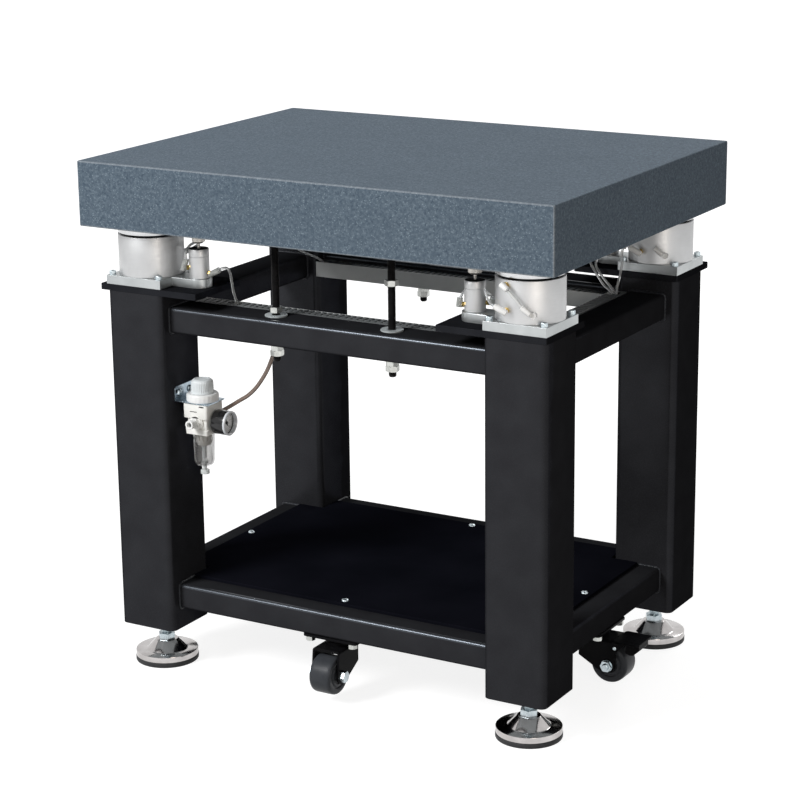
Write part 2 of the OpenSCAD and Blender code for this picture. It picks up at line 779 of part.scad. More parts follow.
module regulator_body() {
    color("#ecebe4") translate([reg_x, reg_y, 0]) difference() {
        union() {
            // Square shoulders above and below a narrower waist
            translate([0, 0, port_z + 6]) linear_extrude(bonnet_z - port_z - 6) round_rect(reg_a, reg_a, 3.4);
            translate([0, 0, bowl_top + 5]) linear_extrude(port_z - bowl_top + 2) round_rect(36, 35, 2.5);
            translate([0, 0, bowl_top]) linear_extrude(8.5) round_rect(reg_a - 3, reg_a - 3, 3);
            translate([0, -reg_a / 2, port_z]) rotate([-90, 0, 0]) cylinder(r = 10, h = reg_a);
            translate([-reg_a / 2 + 4, 0, port_z]) rotate([0, 90, 0]) cylinder(r = 9, h = reg_a - 4);
            translate([0, 0, bonnet_z]) cylinder(r = bonnet_r, h = 12);
        }
        // Spindle seat, bowl seat and the bore of the ports
        translate([0, 0, bonnet_z - 6]) cylinder(r = spindle_r + clear, h = 30);
        translate([0, 0, bowl_top - 1]) cylinder(r = 12.5, h = 9);
        translate([0, -reg_a / 2 - 1, port_z]) rotate([-90, 0, 0]) cylinder(r = 4, h = reg_a + 2);
        translate([gauge_x - reg_x - 8, 0, port_z]) rotate([0, 90, 0]) cylinder(r = 4, h = 10);
    }
}

module regulator_ring_nut() {
    color("#f1f1ee") translate([reg_x, reg_y, bonnet_z + bracket_t]) difference() {
        union() {
            cylinder(r = ring_nut[0], h = ring_nut[1] - 2);
            translate([0, 0, ring_nut[1] - 2]) cylinder(r1 = ring_nut[0], r2 = ring_nut[0] - 2, h = 2);
        }
        translate([0, 0, -1]) cylinder(r = bonnet_r, h = ring_nut[1] + 2);
    }
}

module regulator_spindle() {
    color("#b0a070") translate([reg_x, reg_y, bonnet_z - 5])
        cylinder(r = spindle_r, h = ring_top + knob[1] - 8 - bonnet_z + 5);
}

module regulator_knob() {
    color("#c9cdce") translate([reg_x, reg_y, ring_top + 0.3]) difference() {
        union() {
            cylinder(r1 = knob[0] + 0.6, r2 = knob[0], h = knob[1] - 3);
            translate([0, 0, knob[1] - 3]) cylinder(r1 = knob[0], r2 = knob[0] - 2.5, h = 3);
        }
        translate([0, 0, -1]) cylinder(r = spindle_r + clear, h = knob[1] - 2);
    }
}

// A clear cup with a hole at the bottom for the drain
module filter_bowl() {
    color("#8d9296", 0.45) translate([reg_x, reg_y, 0]) rotate_extrude() polygon([
        [bowl_r, bowl_top], [bowl_r, bowl_top - 8], [bowl_r - 1.5, bowl_bottom + 9],
        [bowl_r - 5, bowl_bottom + 3], [8, bowl_bottom], [drain_r + clear, bowl_bottom],
        [drain_r + clear, bowl_bottom + bowl_wall], [8, bowl_bottom + bowl_wall],
        [bowl_r - 6, bowl_bottom + 5], [bowl_r - bowl_wall - 1.5, bowl_bottom + 10],
        [bowl_r - bowl_wall, bowl_top - 8], [bowl_r - bowl_wall, bowl_top]]);
}

module filter_element() {
    color("#f4f4f0") translate([reg_x, reg_y, bowl_top - 20]) difference() {
        cylinder(r = 10.5, h = 28);
        translate([0, 0, 3]) cylinder(r = 5, h = 30);
    }
}

module bowl_drain_cock() {
    color("#e6e8e6") translate([reg_x, reg_y, 0]) {
        translate([0, 0, bowl_bottom - 8]) cylinder(r = drain_r, h = 15);
        translate([0, 0, bowl_bottom - 13]) cylinder(r = 7, h = 6.5);
        translate([0, 0, bowl_bottom + 4]) cylinder(r = 5.5, h = 4);
    }
}

module along_gauge(x) {
    translate([x, reg_y, port_z]) rotate([0, 90, 0]) children();
}

module gauge_case() {
    color("#151617") {
        along_gauge(gauge_x - 6) cylinder(r = 4, h = gauge_back - gauge_x + 7);
        difference() {
            along_gauge(gauge_back) cylinder(r = gauge_d / 2, h = gauge_front - gauge_back - 4);
            along_gauge(gauge_back + 16) cylinder(r = gauge_d / 2 - 1.5, h = 30);
            along_gauge(gauge_back + 8) cylinder(r = 1.5 + clear, h = 30);
        }
    }
}

module gauge_dial() {
    color("#f4f5f5") along_gauge(gauge_back + 16) difference() {
        cylinder(r = gauge_d / 2 - 1.5, h = 1);
        translate([0, 0, -1]) cylinder(r = 1.5 + clear, h = 4);
    }
}

// Pointer on its shaft, with a counterweight
module gauge_needle() {
    color("#141414") {
        along_gauge(gauge_back + 9) cylinder(r = 1.5, h = 10);
        along_gauge(gauge_back + 18) cylinder(r = 2.6, h = 1.2);
        translate([gauge_back + 18, reg_y, port_z]) rotate([20, 0, 0]) translate([0, -0.6, -5])
            cube([0.8, 1.2, 17.5]);
    }
}

// The lens and its ring are one moulding that closes the case
module gauge_lens() {
    color("#dfe6ea", 0.35) {
        along_gauge(gauge_front - 3) cylinder(r = gauge_d / 2 - 3, h = 1.5);
        along_gauge(gauge_front - 4) difference() {
            cylinder(r = gauge_d / 2, h = 4);
            translate([0, 0, -1]) cylinder(r = gauge_d / 2 - 3.5, h = 6);
        }
    }
}

// Push-in fittings: a nipple out of the surface, then a plastic elbow towards the line

module elbow(foot, knee, tip, r = 4.5) {
    bar(foot, knee, 3.2);
    bar(knee - 0.45 * (tip - knee), tip, r);
}

// Ports of one air mount, on the side that faces -Y when turn is 0
module mount_ports(c, turn) {
    at_corner(c) rotate([0, 0, turn]) {
        elbow(port_low[0], port_low[1], [-26, -59, 657]);
        elbow(port_high[0], port_high[1], [-6, -59, 682]);
        // Restrictor at the other end of the bridge line
        bar([15, -57.5, 659.5], [28, -56, 650], 4);
        bar([25.6, -38.3, 646], [31, -54, 648], 4.4);
    }
}

module push_in_fittings() {
    color("#e9e9e4") {
        difference() {
            union() {
                mount_ports(front_right, 0);
                mount_ports(rear_right, 0);
                mount_ports(front_left, 180);
                at_corner(rear_left) elbow([11.8, -45.5, 651], [13.5, -58, 651], [6, -59, 656]);
                // Valve elbows, as foot, knee and tip
                elbow([-223, -220, 639.5], [-215, -219, 639.5], [-203, -218, 646]);
                elbow([-247.5, -230, 647.5], [-256, -235, 648], [-254, -231, 660]);
                elbow([225, -228.5, 641], [217, -232, 641], [217, -230, 650]);
                elbow([249, -215.5, 643.5], [258, -211, 643.5], [260, -211, 650]);
                elbow([225, 215.5, 641], [217, 213, 641], [214.5, 214, 651.5]);
                elbow([249, 228.5, 643.5], [258, 232, 643.5], [261, 232, 652.5]);
            }
            // The brass ends where it meets a mount or a valve
            at_corners() translate([0, 0, base_top]) cylinder(r = iso_d / 2, h = 70, $fn = 96);
            at_valves() translate([0, 0, base_top]) cylinder(r = valve_d / 2, h = 40);
        }
        // Inlet and outlet of the regulator
        difference() {
            bar([reg_x, inlet_y + 17, port_z], [reg_x, inlet_y, port_z], 7);
            bar([reg_x, inlet_y - 1, port_z], [reg_x, inlet_y + inlet_depth, port_z], inlet_r);
        }
        bar([reg_x, reg_y + reg_a / 2, port_z], [reg_x, -184, port_z], 7);
        bar([reg_x, -189.5, port_z + 0.5], [-227, -189.5, 414.5], 5.8);
        for (t = tees) translate(t) cube([14, 14, 12], center = true);
    }
}

module air_lines() {
    color("#c9c2ba", 0.6) for (route = air_routes) swept(route);
}

legs();
leg_foot_plates();
upper_rails();
lower_rails();
isolator_mounting_plates();
shelf_panel();
pan_head_screws();
cable_ducts();
duct_covers();
rail_washers();
isolator_base_plates();
isolator_base_screws();
isolator_housings();
isolator_diaphragms();
level_valve_bodies();
push_in_fittings();
air_lines();
caster_top_plates();
caster_bolts();
regulator_bracket();
regulator_body();
regulator_ring_nut();
filter_bowl();
filter_element();
gauge_case();
gauge_dial();
gauge_lens();
granite_top();
isolator_top_caps();
isolator_pistons();
stop_rods();
stop_rod_nuts();
level_contact_heads();
level_valve_plungers();
foot_base(front_left);  // foot_base_front_left
foot_base(front_right);  // foot_base_front_right
foot_base(rear_left);  // foot_base_rear_left
foot_base(rear_right);  // foot_base_rear_right
foot_rubber(front_left);  // foot_rubber_front_left
foot_rubber(front_right);  // foot_rubber_front_right
foot_rubber(rear_left);  // foot_rubber_rear_left
foot_rubber(rear_right);  // foot_rubber_rear_right
foot_stud(front_left);  // foot_stud_front_left
foot_stud(front_right);  // foot_stud_front_right
foot_stud(rear_left);  // foot_stud_rear_left
foot_stud(rear_right);  // foot_stud_rear_right
caster_fork(caster_front, false);  // caster_fork_front
caster_fork(caster_right, true);  // caster_fork_right
caster_fork(caster_rear, false);  // caster_fork_rear
caster_fork(caster_left, true);  // caster_fork_left
caster_wheel(caster_front);  // caster_wheel_front
caster_wheel(caster_right);  // caster_wheel_right
caster_wheel(caster_rear);  // caster_wheel_rear
caster_wheel(caster_left);  // caster_wheel_left
brake_pedal(caster_right);  // brake_pedal_right
brake_pedal(caster_left);  // brake_pedal_left
regulator_spindle();
regulator_knob();
bowl_drain_cock();
gauge_needle();
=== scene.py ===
# Vibration isolation table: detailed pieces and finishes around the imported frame.
# Shapes are drawn in millimetres and brought to metres when a piece is finished.
import math

import bmesh
import bpy
from mathutils import Matrix, Vector


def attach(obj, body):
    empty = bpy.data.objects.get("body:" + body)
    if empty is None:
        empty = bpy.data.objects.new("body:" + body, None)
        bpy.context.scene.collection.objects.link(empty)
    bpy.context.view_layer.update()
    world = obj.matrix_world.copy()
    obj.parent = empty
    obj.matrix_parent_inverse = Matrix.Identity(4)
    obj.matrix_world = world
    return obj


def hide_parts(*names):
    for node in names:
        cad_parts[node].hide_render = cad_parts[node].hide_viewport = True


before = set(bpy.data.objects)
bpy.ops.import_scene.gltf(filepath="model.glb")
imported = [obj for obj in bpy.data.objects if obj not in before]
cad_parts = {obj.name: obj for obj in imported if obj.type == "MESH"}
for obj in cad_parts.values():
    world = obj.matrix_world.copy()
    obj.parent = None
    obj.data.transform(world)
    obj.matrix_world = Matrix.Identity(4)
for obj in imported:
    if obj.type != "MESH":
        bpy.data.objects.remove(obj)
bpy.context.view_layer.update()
scene = bpy.context.scene
fullTurn = 2 * math.pi
print("frame loaded with", len(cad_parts), "nodes")

# Camera, from the perspective of the photograph
viewpoint = {"place": (1.7738, -3.0654, 1.3971), "yaw": 0.5289, "pitch": 0.2704,
             "roll": -0.0115, "lens": 105.42}


def placeCamera(view):
    yaw, pitch, roll = view["yaw"], view["pitch"], view["roll"]
    forward = Vector((-math.sin(yaw) * math.cos(pitch), math.cos(yaw) * math.cos(pitch),
                      -math.sin(pitch)))
    side = Vector((math.cos(yaw), math.sin(yaw), 0))
    up = side.cross(forward)
    rolledSide = math.cos(roll) * side + math.sin(roll) * up
    rolledUp = math.cos(roll) * up - math.sin(roll) * side
    data = bpy.data.cameras.new("photoCamera")
    data.lens = view["lens"]
    data.sensor_width = 36
    data.clip_end = 100
    camera = bpy.data.objects.new("photoCamera", data)
    scene.collection.objects.link(camera)
    turn = Matrix((rolledSide, rolledUp, -forward)).transposed().to_4x4()
    camera.matrix_world = Matrix.Translation(view["place"]) @ turn
    scene.camera = camera


placeCamera(viewpoint)

# Materials. Every one reads object coordinates, in metres.


def newFinish(name, colour, roughness, metallic=0.0, sockets=None):
    material = bpy.data.materials.new(name)
    material.use_nodes = True
    shader = material.node_tree.nodes["Principled BSDF"]
    shader.inputs["Base Color"].default_value = (*colour, 1)
    shader.inputs["Roughness"].default_value = roughness
    shader.inputs["Metallic"].default_value = metallic
    for socket, value in (sockets or {}).items():
        shader.inputs[socket].default_value = value
    return material, shader


def addNode(material, kind, values=None, **settings):
    made = material.node_tree.nodes.new("ShaderNode" + kind)
    for setting, value in settings.items():
        setattr(made, setting, value)
    for socket, value in (values or {}).items():
        made.inputs[socket].default_value = value
    return made


def connect(material, source, target):
    material.node_tree.links.new(source, target)


def pattern(material, kind, scale, stretch=(1, 1, 1), values=None):
    coords = addNode(material, "TexCoord")
    mapping = addNode(material, "Mapping", {"Scale": stretch})
    texture = addNode(material, kind, {"Scale": scale, **(values or {})})
    connect(material, coords.outputs["Object"], mapping.inputs["Vector"])
    connect(material, mapping.outputs["Vector"], texture.inputs["Vector"])
    return texture


def spread(material, source, low, high, fromLow=0.3, fromHigh=0.7):
    ranged = addNode(material, "MapRange", {"From Min": fromLow, "From Max": fromHigh,
                                            "To Min": low, "To Max": high})
    connect(material, source, ranged.inputs["Value"])
    return ranged.outputs["Result"]


def mixColours(material, factor, first, second):
    mix = addNode(material, "Mix", data_type="RGBA")
    connect(material, factor, mix.inputs[0])
    for socket, value in ((mix.inputs[6], first), (mix.inputs[7], second)):
        if isinstance(value, tuple):
            socket.default_value = (*value, 1)
        else:
            connect(material, value, socket)
    return mix.outputs[2]


def addBump(material, shader, height, strength, distance):
    bump = addNode(material, "Bump", {"Strength": strength, "Distance": distance})
    connect(material, height, bump.inputs["Height"])
    connect(material, bump.outputs["Normal"], shader.inputs["Normal"])


# Colour drifts between two shades, and the roughness drifts with it, over a fine grain.
# The skin is the grain's size with the strength and depth of its bumps.
def worked(name, dark, light, roughness, metallic, drift, skin, specular=0.5, tint=(1, 1, 1),
           stretch=(1, 1, 1), polish=0.08, anisotropy=0.0):
    grain, strength, depth = skin
    material, shader = newFinish(name, light, roughness, metallic, {
        "Specular IOR Level": specular, "Specular Tint": (*tint, 1), "Anisotropic": anisotropy})
    slow = pattern(material, "TexNoise", 1 / drift, values={"Detail": 3})
    factor = spread(material, slow.outputs["Fac"], 0, 1)
    connect(material, mixColours(material, factor, dark, light), shader.inputs["Base Color"])
    fine = pattern(material, "TexNoise", 1 / grain, stretch, {"Detail": 2})
    gloss = spread(material, fine.outputs["Fac"], roughness - polish, roughness + polish)
    connect(material, gloss, shader.inputs["Roughness"])
    addBump(material, shader, fine.outputs["Fac"], strength, depth)
    return material


# Voronoi cells: one of their random shades, and the distance from each cell's middle
def cellShade(material, scale, shade):
    cells = pattern(material, "TexVoronoi", scale)
    parts = addNode(material, "SeparateColor")
    connect(material, cells.outputs["Color"], parts.inputs["Color"])
    return parts.outputs[shade], cells.outputs["Distance"]


# How many of each there are in a metre of granite
graniteGrain = {"crystal": 430, "feldspar": 210, "patch": 150, "cloud": 11, "mica": 370}


def honedGranite(name, dark, middle, light, fleck):
    material, shader = newFinish(name, middle, 0.55, sockets={"Specular IOR Level": 0.03})
    crystal = cellShade(material, graniteGrain["crystal"], "Red")[0]
    body = mixColours(material, spread(material, crystal, 0, 1, 0.05, 0.95), dark, middle)
    feldspar = pattern(material, "TexNoise", graniteGrain["feldspar"],
                       values={"Detail": 5, "Roughness": 0.75}).outputs["Fac"]
    body = mixColours(material, spread(material, feldspar, 0, 0.9, 0.46, 0.66), body, light)
    patch = cellShade(material, graniteGrain["patch"], "Blue")[0]
    body = mixColours(material, spread(material, patch, 0, 0.3, 0.55, 0.95), body, dark)
    cloud = pattern(material, "TexNoise", graniteGrain["cloud"], values={"Detail": 4})
    body = mixColours(material, spread(material, cloud.outputs["Fac"], 0, 0.22), body, dark)
    sparkle, core = cellShade(material, graniteGrain["mica"], "Green")
    both = addNode(material, "Math", operation="MULTIPLY")
    connect(material, spread(material, sparkle, 0, 0.62, 0.70, 0.94), both.inputs[0])
    connect(material, spread(material, core, 1, 0, 0.12, 0.42), both.inputs[1])
    body = mixColours(material, both.outputs[0], body, fleck)
    connect(material, body, shader.inputs["Base Color"])
    connect(material, spread(material, feldspar, 0.46, 0.62), shader.inputs["Roughness"])
    addBump(material, shader, feldspar, 0.12, 0.0001)
    return material


# Clear and milky plastics: light goes through, with a faint drift in the wall
def seeThrough(name, colour, roughness, clear, alpha=1.0, ior=1.45):
    material, shader = newFinish(name, colour, roughness, 0.0,
                                 {"Transmission Weight": clear, "IOR": ior, "Alpha": alpha})
    cloud = pattern(material, "TexNoise", 90, values={"Detail": 2})
    darker = tuple(0.86 * part for part in colour)
    factor = spread(material, cloud.outputs["Fac"], 0, 1)
    connect(material, mixColours(material, factor, darker, colour), shader.inputs["Base Color"])
    connect(material, spread(material, cloud.outputs["Fac"], roughness, roughness + 0.06),
            shader.inputs["Roughness"])
    return material


turnedLines = (0.03, 0.03, 1)
drawnLines = (0.04, 1, 1)
dull = 0.028
coatTint = (0.1, 0.1, 0.12)
# Bluish tint of the painted highlight on the upper rail bends
bendHighlightTint = (0.78, 0.87, 1.0)
finishes = {
    "frame": worked("powderCoat", (0.027, 0.0275, 0.031), (0.033, 0.034, 0.038), 0.25, 0.28,
                    0.04, (0.0011, 0.10, 0.00006), 0.0, coatTint),
    # Painted highlight on the upper rail bends: the frame's black with a glossy, bluish reflection
    "bendHighlight": worked("glossyBendHighlight", (0.022, 0.0235, 0.027), (0.028, 0.030, 0.034), 0.24, 0.0,
                   0.04, (0.0011, 0.08, 0.00006), 0.55, bendHighlightTint),
    "plate": worked("plateCoat", (0.016, 0.017, 0.020), (0.022, 0.023, 0.027), 0.25, 0.28,
                    0.04, (0.0011, 0.08, 0.00006), 0.0, coatTint),
    "shelf": worked("shelfCoat", (0.006, 0.0065, 0.010), (0.010, 0.0105, 0.016), 0.36, 0.3,
                    0.12, (0.0012, 0.08, 0.00006), 0.0, coatTint),
    "weld": worked("coatedWeld", (0.020, 0.022, 0.026), (0.034, 0.037, 0.044), 0.30, 0.0,
                   0.04, (0.0016, 0.25, 0.0002), 0.14),
    # One grey duct plastic in two copies: the covers lighter than the plastic with painted light,
    # the walls darkened with painted shade
    "duct": worked("ductPlastic", (0.56, 0.58, 0.58), (0.63, 0.65, 0.65), 0.45, 0.0,
                   0.04, (0.0008, 0.08, 0.00005), 0.12),
    "ductWall": worked("ductWallPlastic", (0.12, 0.13, 0.135), (0.16, 0.17, 0.175), 0.45, 0.0,
                       0.04, (0.0008, 0.08, 0.00005), 0.06),
    "washer": worked("washerZinc", (0.50, 0.55, 0.57), (0.62, 0.67, 0.69), 0.34, 0.4,
                     0.008, (0.0006, 0.10, 0.00003)),
    "aluminium": worked("satinAluminium", (0.47, 0.475, 0.48), (0.54, 0.545, 0.55), 0.46, 0.9,
                        0.04, (0.0005, 0.10, 0.00003), stretch=turnedLines, anisotropy=0.35),
    "milled": worked("milledAluminium", (0.36, 0.38, 0.385), (0.46, 0.48, 0.485), 0.38, 0.9,
                     0.04, (0.0006, 0.12, 0.00003), stretch=drawnLines),
    "cap": worked("turnedCap", (0.52, 0.53, 0.54), (0.62, 0.63, 0.64), 0.28, 0.95,
                  0.04, (0.0006, 0.10, 0.00003), stretch=turnedLines),
    "zinc": worked("brightZinc", (0.42, 0.48, 0.51), (0.58, 0.65, 0.68), 0.28, 1.0,
                   0.006, (0.0006, 0.15, 0.00004)),
    "warmZinc": worked("paleZinc", (0.43, 0.44, 0.42), (0.56, 0.57, 0.55), 0.32, 1.0,
                       0.006, (0.0006, 0.15, 0.00004)),
    "steel": worked("brushedSteel", (0.36, 0.35, 0.33), (0.48, 0.46, 0.43), 0.32, 1.0,
                    0.01, (0.0005, 0.10, 0.00003), stretch=turnedLines),
    "chrome": worked("polishedChrome", (0.42, 0.40, 0.395), (0.54, 0.52, 0.515), 0.13, 1.0,
                     0.02, (0.0016, 0.16, 0.00005), polish=0.04),
    "oxide": worked("blackOxide", (0.010, 0.010, 0.011), (0.020, 0.019, 0.019), 0.36, 0.2,
                    0.01, (0.0005, 0.12, 0.00004), dull),
    "brass": worked("bareBrass", (0.60, 0.41, 0.12), (0.78, 0.56, 0.19), 0.24, 1.0,
                    0.004, (0.0005, 0.08, 0.00003)),
    "rubber": worked("feetRubber", (0.024, 0.025, 0.027), (0.040, 0.041, 0.043), 0.62, 0.0,
                     0.01, (0.0007, 0.3, 0.0001), 0.25),
    "blackRubber": worked("blackRubber", (0.006, 0.006, 0.007), (0.010, 0.010, 0.011), 0.55, 0.0,
                          0.01, (0.0008, 0.2, 0.0001), dull),
    "nylon": worked("wheelNylon", (0.036, 0.040, 0.046), (0.052, 0.056, 0.064), 0.38, 0.0,
                    0.012, (0.0009, 0.14, 0.0001), 0.14),
    "caster": worked("casterPaint", (0.005, 0.005, 0.006), (0.009, 0.009, 0.010), 0.30, 0.0,
                     0.04, (0.001, 0.12, 0.00008), dull),
    "body": worked("ivoryBody", (0.88, 0.88, 0.845), (0.94, 0.94, 0.91), 0.36, 0.0,
                   0.02, (0.0009, 0.12, 0.00006)),
    "ring": worked("whiteRing", (0.88, 0.89, 0.89), (0.93, 0.94, 0.94), 0.34, 0.0,
                   0.02, (0.0009, 0.10, 0.00005)),
    "knob": worked("greyKnob", (0.70, 0.745, 0.765), (0.79, 0.835, 0.855), 0.42, 0.0,
                   0.01, (0.0007, 0.12, 0.00005)),
    "fitting": worked("whiteFitting", (0.91, 0.92, 0.91), (0.96, 0.965, 0.96), 0.30, 0.0,
                      0.006, (0.0006, 0.08, 0.00004)),
    "collet": worked("colletRing", (0.66, 0.69, 0.71), (0.78, 0.81, 0.83), 0.30, 0.0,
                     0.004, (0.0005, 0.06, 0.00003)),
    "filter": worked("sinteredFilter", (0.80, 0.79, 0.76), (0.90, 0.89, 0.86), 0.7, 0.0,
                     0.004, (0.0006, 0.4, 0.0002)),
    "gauge": worked("gaugeBlack", (0.008, 0.008, 0.009), (0.013, 0.013, 0.014), 0.18, 0.0,
                    0.01, (0.0009, 0.04, 0.00003), 0.35, polish=0.05),
    "dial": worked("dialWhite", (0.93, 0.94, 0.95), (0.97, 0.98, 0.99), 0.45, 0.0,
                   0.01, (0.0006, 0.04, 0.00002)),
    "ink": worked("dialInk", (0.010, 0.010, 0.012), (0.018, 0.018, 0.020), 0.5, 0.0,
                  0.004, (0.0005, 0.04, 0.00002), dull),
    "rim": worked("paleRim", (0.70, 0.73, 0.77), (0.80, 0.83, 0.87), 0.16, 0.0,
                  0.008, (0.0009, 0.05, 0.00003), polish=0.04),
    "bracket": worked("bracketZinc", (0.30, 0.37, 0.43), (0.46, 0.54, 0.60), 0.28, 1.0,
                      0.008, (0.0007, 0.12, 0.00004)),
    "smoke": seeThrough("smokyCup", (0.10, 0.095, 0.09), 0.04, 1.0, alpha=0.31, ior=1.3),
    "smokyFitting": seeThrough("smokyFitting", (0.60, 0.62, 0.60), 0.12, 0.45, ior=1.3),
    "lens": seeThrough("clearLens", (0.95, 0.97, 0.98), 0.03, 1.0, alpha=0.04, ior=1.15),
    "milky": seeThrough("milkyTube", (0.93, 0.95, 0.95), 0.16, 0.25, ior=1.35),
    "supplyTube": seeThrough("supplyTube", (0.31, 0.235, 0.195), 0.08, 0.40, ior=1.45),
    "clearTube": seeThrough("clearTube", (0.80, 0.82, 0.83), 0.08, 0.65, ior=1.25),
    "drain": seeThrough("drainPlastic", (0.88, 0.92, 0.92), 0.14, 0.35, ior=1.3),
    "granite": honedGranite("honedGranite", (0.070, 0.098, 0.132), (0.118, 0.158, 0.200),
                            (0.190, 0.240, 0.285), (0.32, 0.40, 0.46)),
    # Lighter arris: partly the honed stone, partly a painted highlight
    "arris": honedGranite("honedArrisAndHighlight", (0.17, 0.20, 0.235), (0.24, 0.28, 0.315),
                          (0.33, 0.37, 0.405), (0.46, 0.51, 0.55)),
}
print("finishes made:", len(finishes))

# Mesh helpers


# Rounds some of the corners of a flat shape
def rounded(shape, points, radius, segments):
    bmesh.ops.bevel(shape, geom=points, offset=radius, offset_type="OFFSET", affect="VERTICES",
                    segments=segments, profile=0.5, material=-1)
    return shape


def flatFace(points, corner=0.0, segments=5):
    shape = bmesh.new()
    face = shape.faces.new([shape.verts.new((x, y, 0)) for x, y in points])
    return rounded(shape, face.verts[:], corner, segments) if corner else shape


def rectangle(width, depth):
    return [(-width / 2, -depth / 2), (width / 2, -depth / 2), (width / 2, depth / 2),
            (-width / 2, depth / 2)]


# Raises a flat shape into a closed body
def raised(shape, height):
    found = bmesh.ops.extrude_face_region(shape, geom=shape.faces[:])
    above = [item for item in found["geom"] if isinstance(item, bmesh.types.BMVert)]
    bmesh.ops.translate(shape, verts=above, vec=(0, 0, height))
    bmesh.ops.recalc_face_normals(shape, faces=shape.faces)
    return shape


# Raises the top of a flat shape step by step, each with its rise and its growth
def stacked(shape, layers):
    face, first = shape.faces[:][0], True
    for rise, growth in layers:
        found = bmesh.ops.extrude_face_region(shape, geom=[face])
        if not first:
            bmesh.ops.delete(shape, geom=[face], context="FACES_ONLY")
        first = False
        above = [item for item in found["geom"] if isinstance(item, bmesh.types.BMVert)]
        face = [item for item in found["geom"] if isinstance(item, bmesh.types.BMFace)][0]
        bmesh.ops.translate(shape, verts=above, vec=(0, 0, rise))
        bmesh.ops.scale(shape, verts=above, vec=(growth, growth, 1))
    bmesh.ops.recalc_face_normals(shape, faces=shape.faces)
    return shape


# A box or rounded box with softened edges
def block(width, depth, height, corner=0.0, edge=0.0, segments=4):
    shape = raised(flatFace(rectangle(width, depth), corner, segments), height)
    return softened(shape, edge) if edge else shape


# Turns a profile of (radius, height) about Z; a ring's profile is closed
def turned(profile, steps=48, ring=False):
    shape = bmesh.new()
    points = [shape.verts.new((radius, 0, height)) for radius, height in profile]
    pairs = list(zip(points, points[1:] + points[:1])) if ring else list(zip(points, points[1:]))
    edges = [shape.edges.new(pair) for pair in pairs]
    bmesh.ops.spin(shape, geom=points + edges, cent=(0, 0, 0), axis=(0, 0, 1), angle=fullTurn,
                   steps=steps, use_merge=True, use_duplicate=False)
    bmesh.ops.remove_doubles(shape, verts=shape.verts, dist=0.0005)
    bmesh.ops.recalc_face_normals(shape, faces=shape.faces)
    return shape


def plug(radius, low, high, steps=48):
    return turned([(0, low), (radius, low), (radius, high), (0, high)], steps)


# Bevels every edge that is sharper than an angle
def softened(shape, width, segments=2, over=30):
    bmesh.ops.recalc_face_normals(shape, faces=shape.faces)
    sharp = [edge for edge in shape.edges
             if len(edge.link_faces) == 2 and edge.calc_face_angle(0) > math.radians(over)]
    bmesh.ops.bevel(shape, geom=sharp, offset=width, offset_type="OFFSET", affect="EDGES",
                    segments=segments, profile=0.5, material=-1, clamp_overlap=True)
    return shape


# One shape cut by another, or what the two share
def combined(shape, tool, how="DIFFERENCE"):
    items = []
    for part in (shape, tool):
        bmesh.ops.recalc_face_normals(part, faces=part.faces)
        mesh = bpy.data.meshes.new("cutting")
        part.to_mesh(mesh)
        part.free()
        items.append(bpy.data.objects.new("cutting", mesh))
        scene.collection.objects.link(items[-1])
    cut = items[0].modifiers.new("cut", "BOOLEAN")
    cut.object, cut.operation, cut.solver = items[1], how, "EXACT"
    result = bmesh.new()
    result.from_object(items[0], bpy.context.evaluated_depsgraph_get())
    for item in items:
        mesh = item.data
        bpy.data.objects.remove(item)
        bpy.data.meshes.remove(mesh)
    return result


def placed(shape, place):
    bmesh.ops.transform(shape, matrix=place, verts=shape.verts)
    return shape


# Adds copies of a part to a shape, one for each place, and uses the part up
def addCopies(shape, part, places):
    mesh = bpy.data.meshes.new("copying")
    part.to_mesh(mesh)
    part.free()
    for place in places:
        known = len(shape.verts)
        shape.from_mesh(mesh)
        bmesh.ops.transform(shape, matrix=place, verts=shape.verts[:][known:])
    bpy.data.meshes.remove(mesh)
    return shape


def gathered(*parts):
    shape = bmesh.new()
    for part, places in parts:
        addCopies(shape, part, places)
    return shape


def spun(degrees, axis="Z"):
    return Matrix.Rotation(math.radians(degrees), 4, axis)


def moved(x, y, z, turn=0.0):
    return Matrix.Translation((x, y, z)) @ spun(turn)


# Both stand a drawing up, so that its second axis is Z and its thickness runs as the name says
runAlongX = Matrix(((0, 0, 1, 0), (1, 0, 0, 0), (0, 1, 0, 0), (0, 0, 0, 1)))
runAlongY = Matrix(((1, 0, 0, 0), (0, 0, 1, 0), (0, 1, 0, 0), (0, 0, 0, 1)))


# Points the Z axis of a part from one place to another
def aimed(start, end):
    direction = Vector(end) - Vector(start)
    return Matrix.Translation(start) @ direction.to_track_quat("Z", "Y").to_matrix().to_4x4()


def between(start, end):
    return (Vector(end) - Vector(start)).length


def hexagon(flats):
    reach = flats / 2 / math.cos(math.pi / 6)
    return [(reach * math.cos(k * math.pi / 3), reach * math.sin(k * math.pi / 3))
            for k in range(6)]


# A hexagon with the rounded chamfer that a lathe leaves on a nut
def hexNut(flats, height, bore, chamfer=1.0, both=True):
    points = hexagon(flats)
    reach = points[0][0]
    low = chamfer * 0.55 if both else 0
    crown = turned([(0, -0.01), (reach + 0.02 - (chamfer if both else 0), -0.01),
                    (reach + 0.02, low), (reach + 0.02, height - chamfer * 0.55),
                    (reach + 0.02 - chamfer, height + 0.01), (0, height + 0.01)])
    nut = combined(raised(flatFace(points), height), crown, "INTERSECT")
    if bore:
        hole = turned([(0, -1), (bore + 1, -1), (bore + 0.8, 0.0), (bore, 0.8),
                       (bore, height - 0.8), (bore + 0.8, height), (bore + 1, height + 1),
                       (0, height + 1)])
        nut = combined(nut, hole)
    return nut


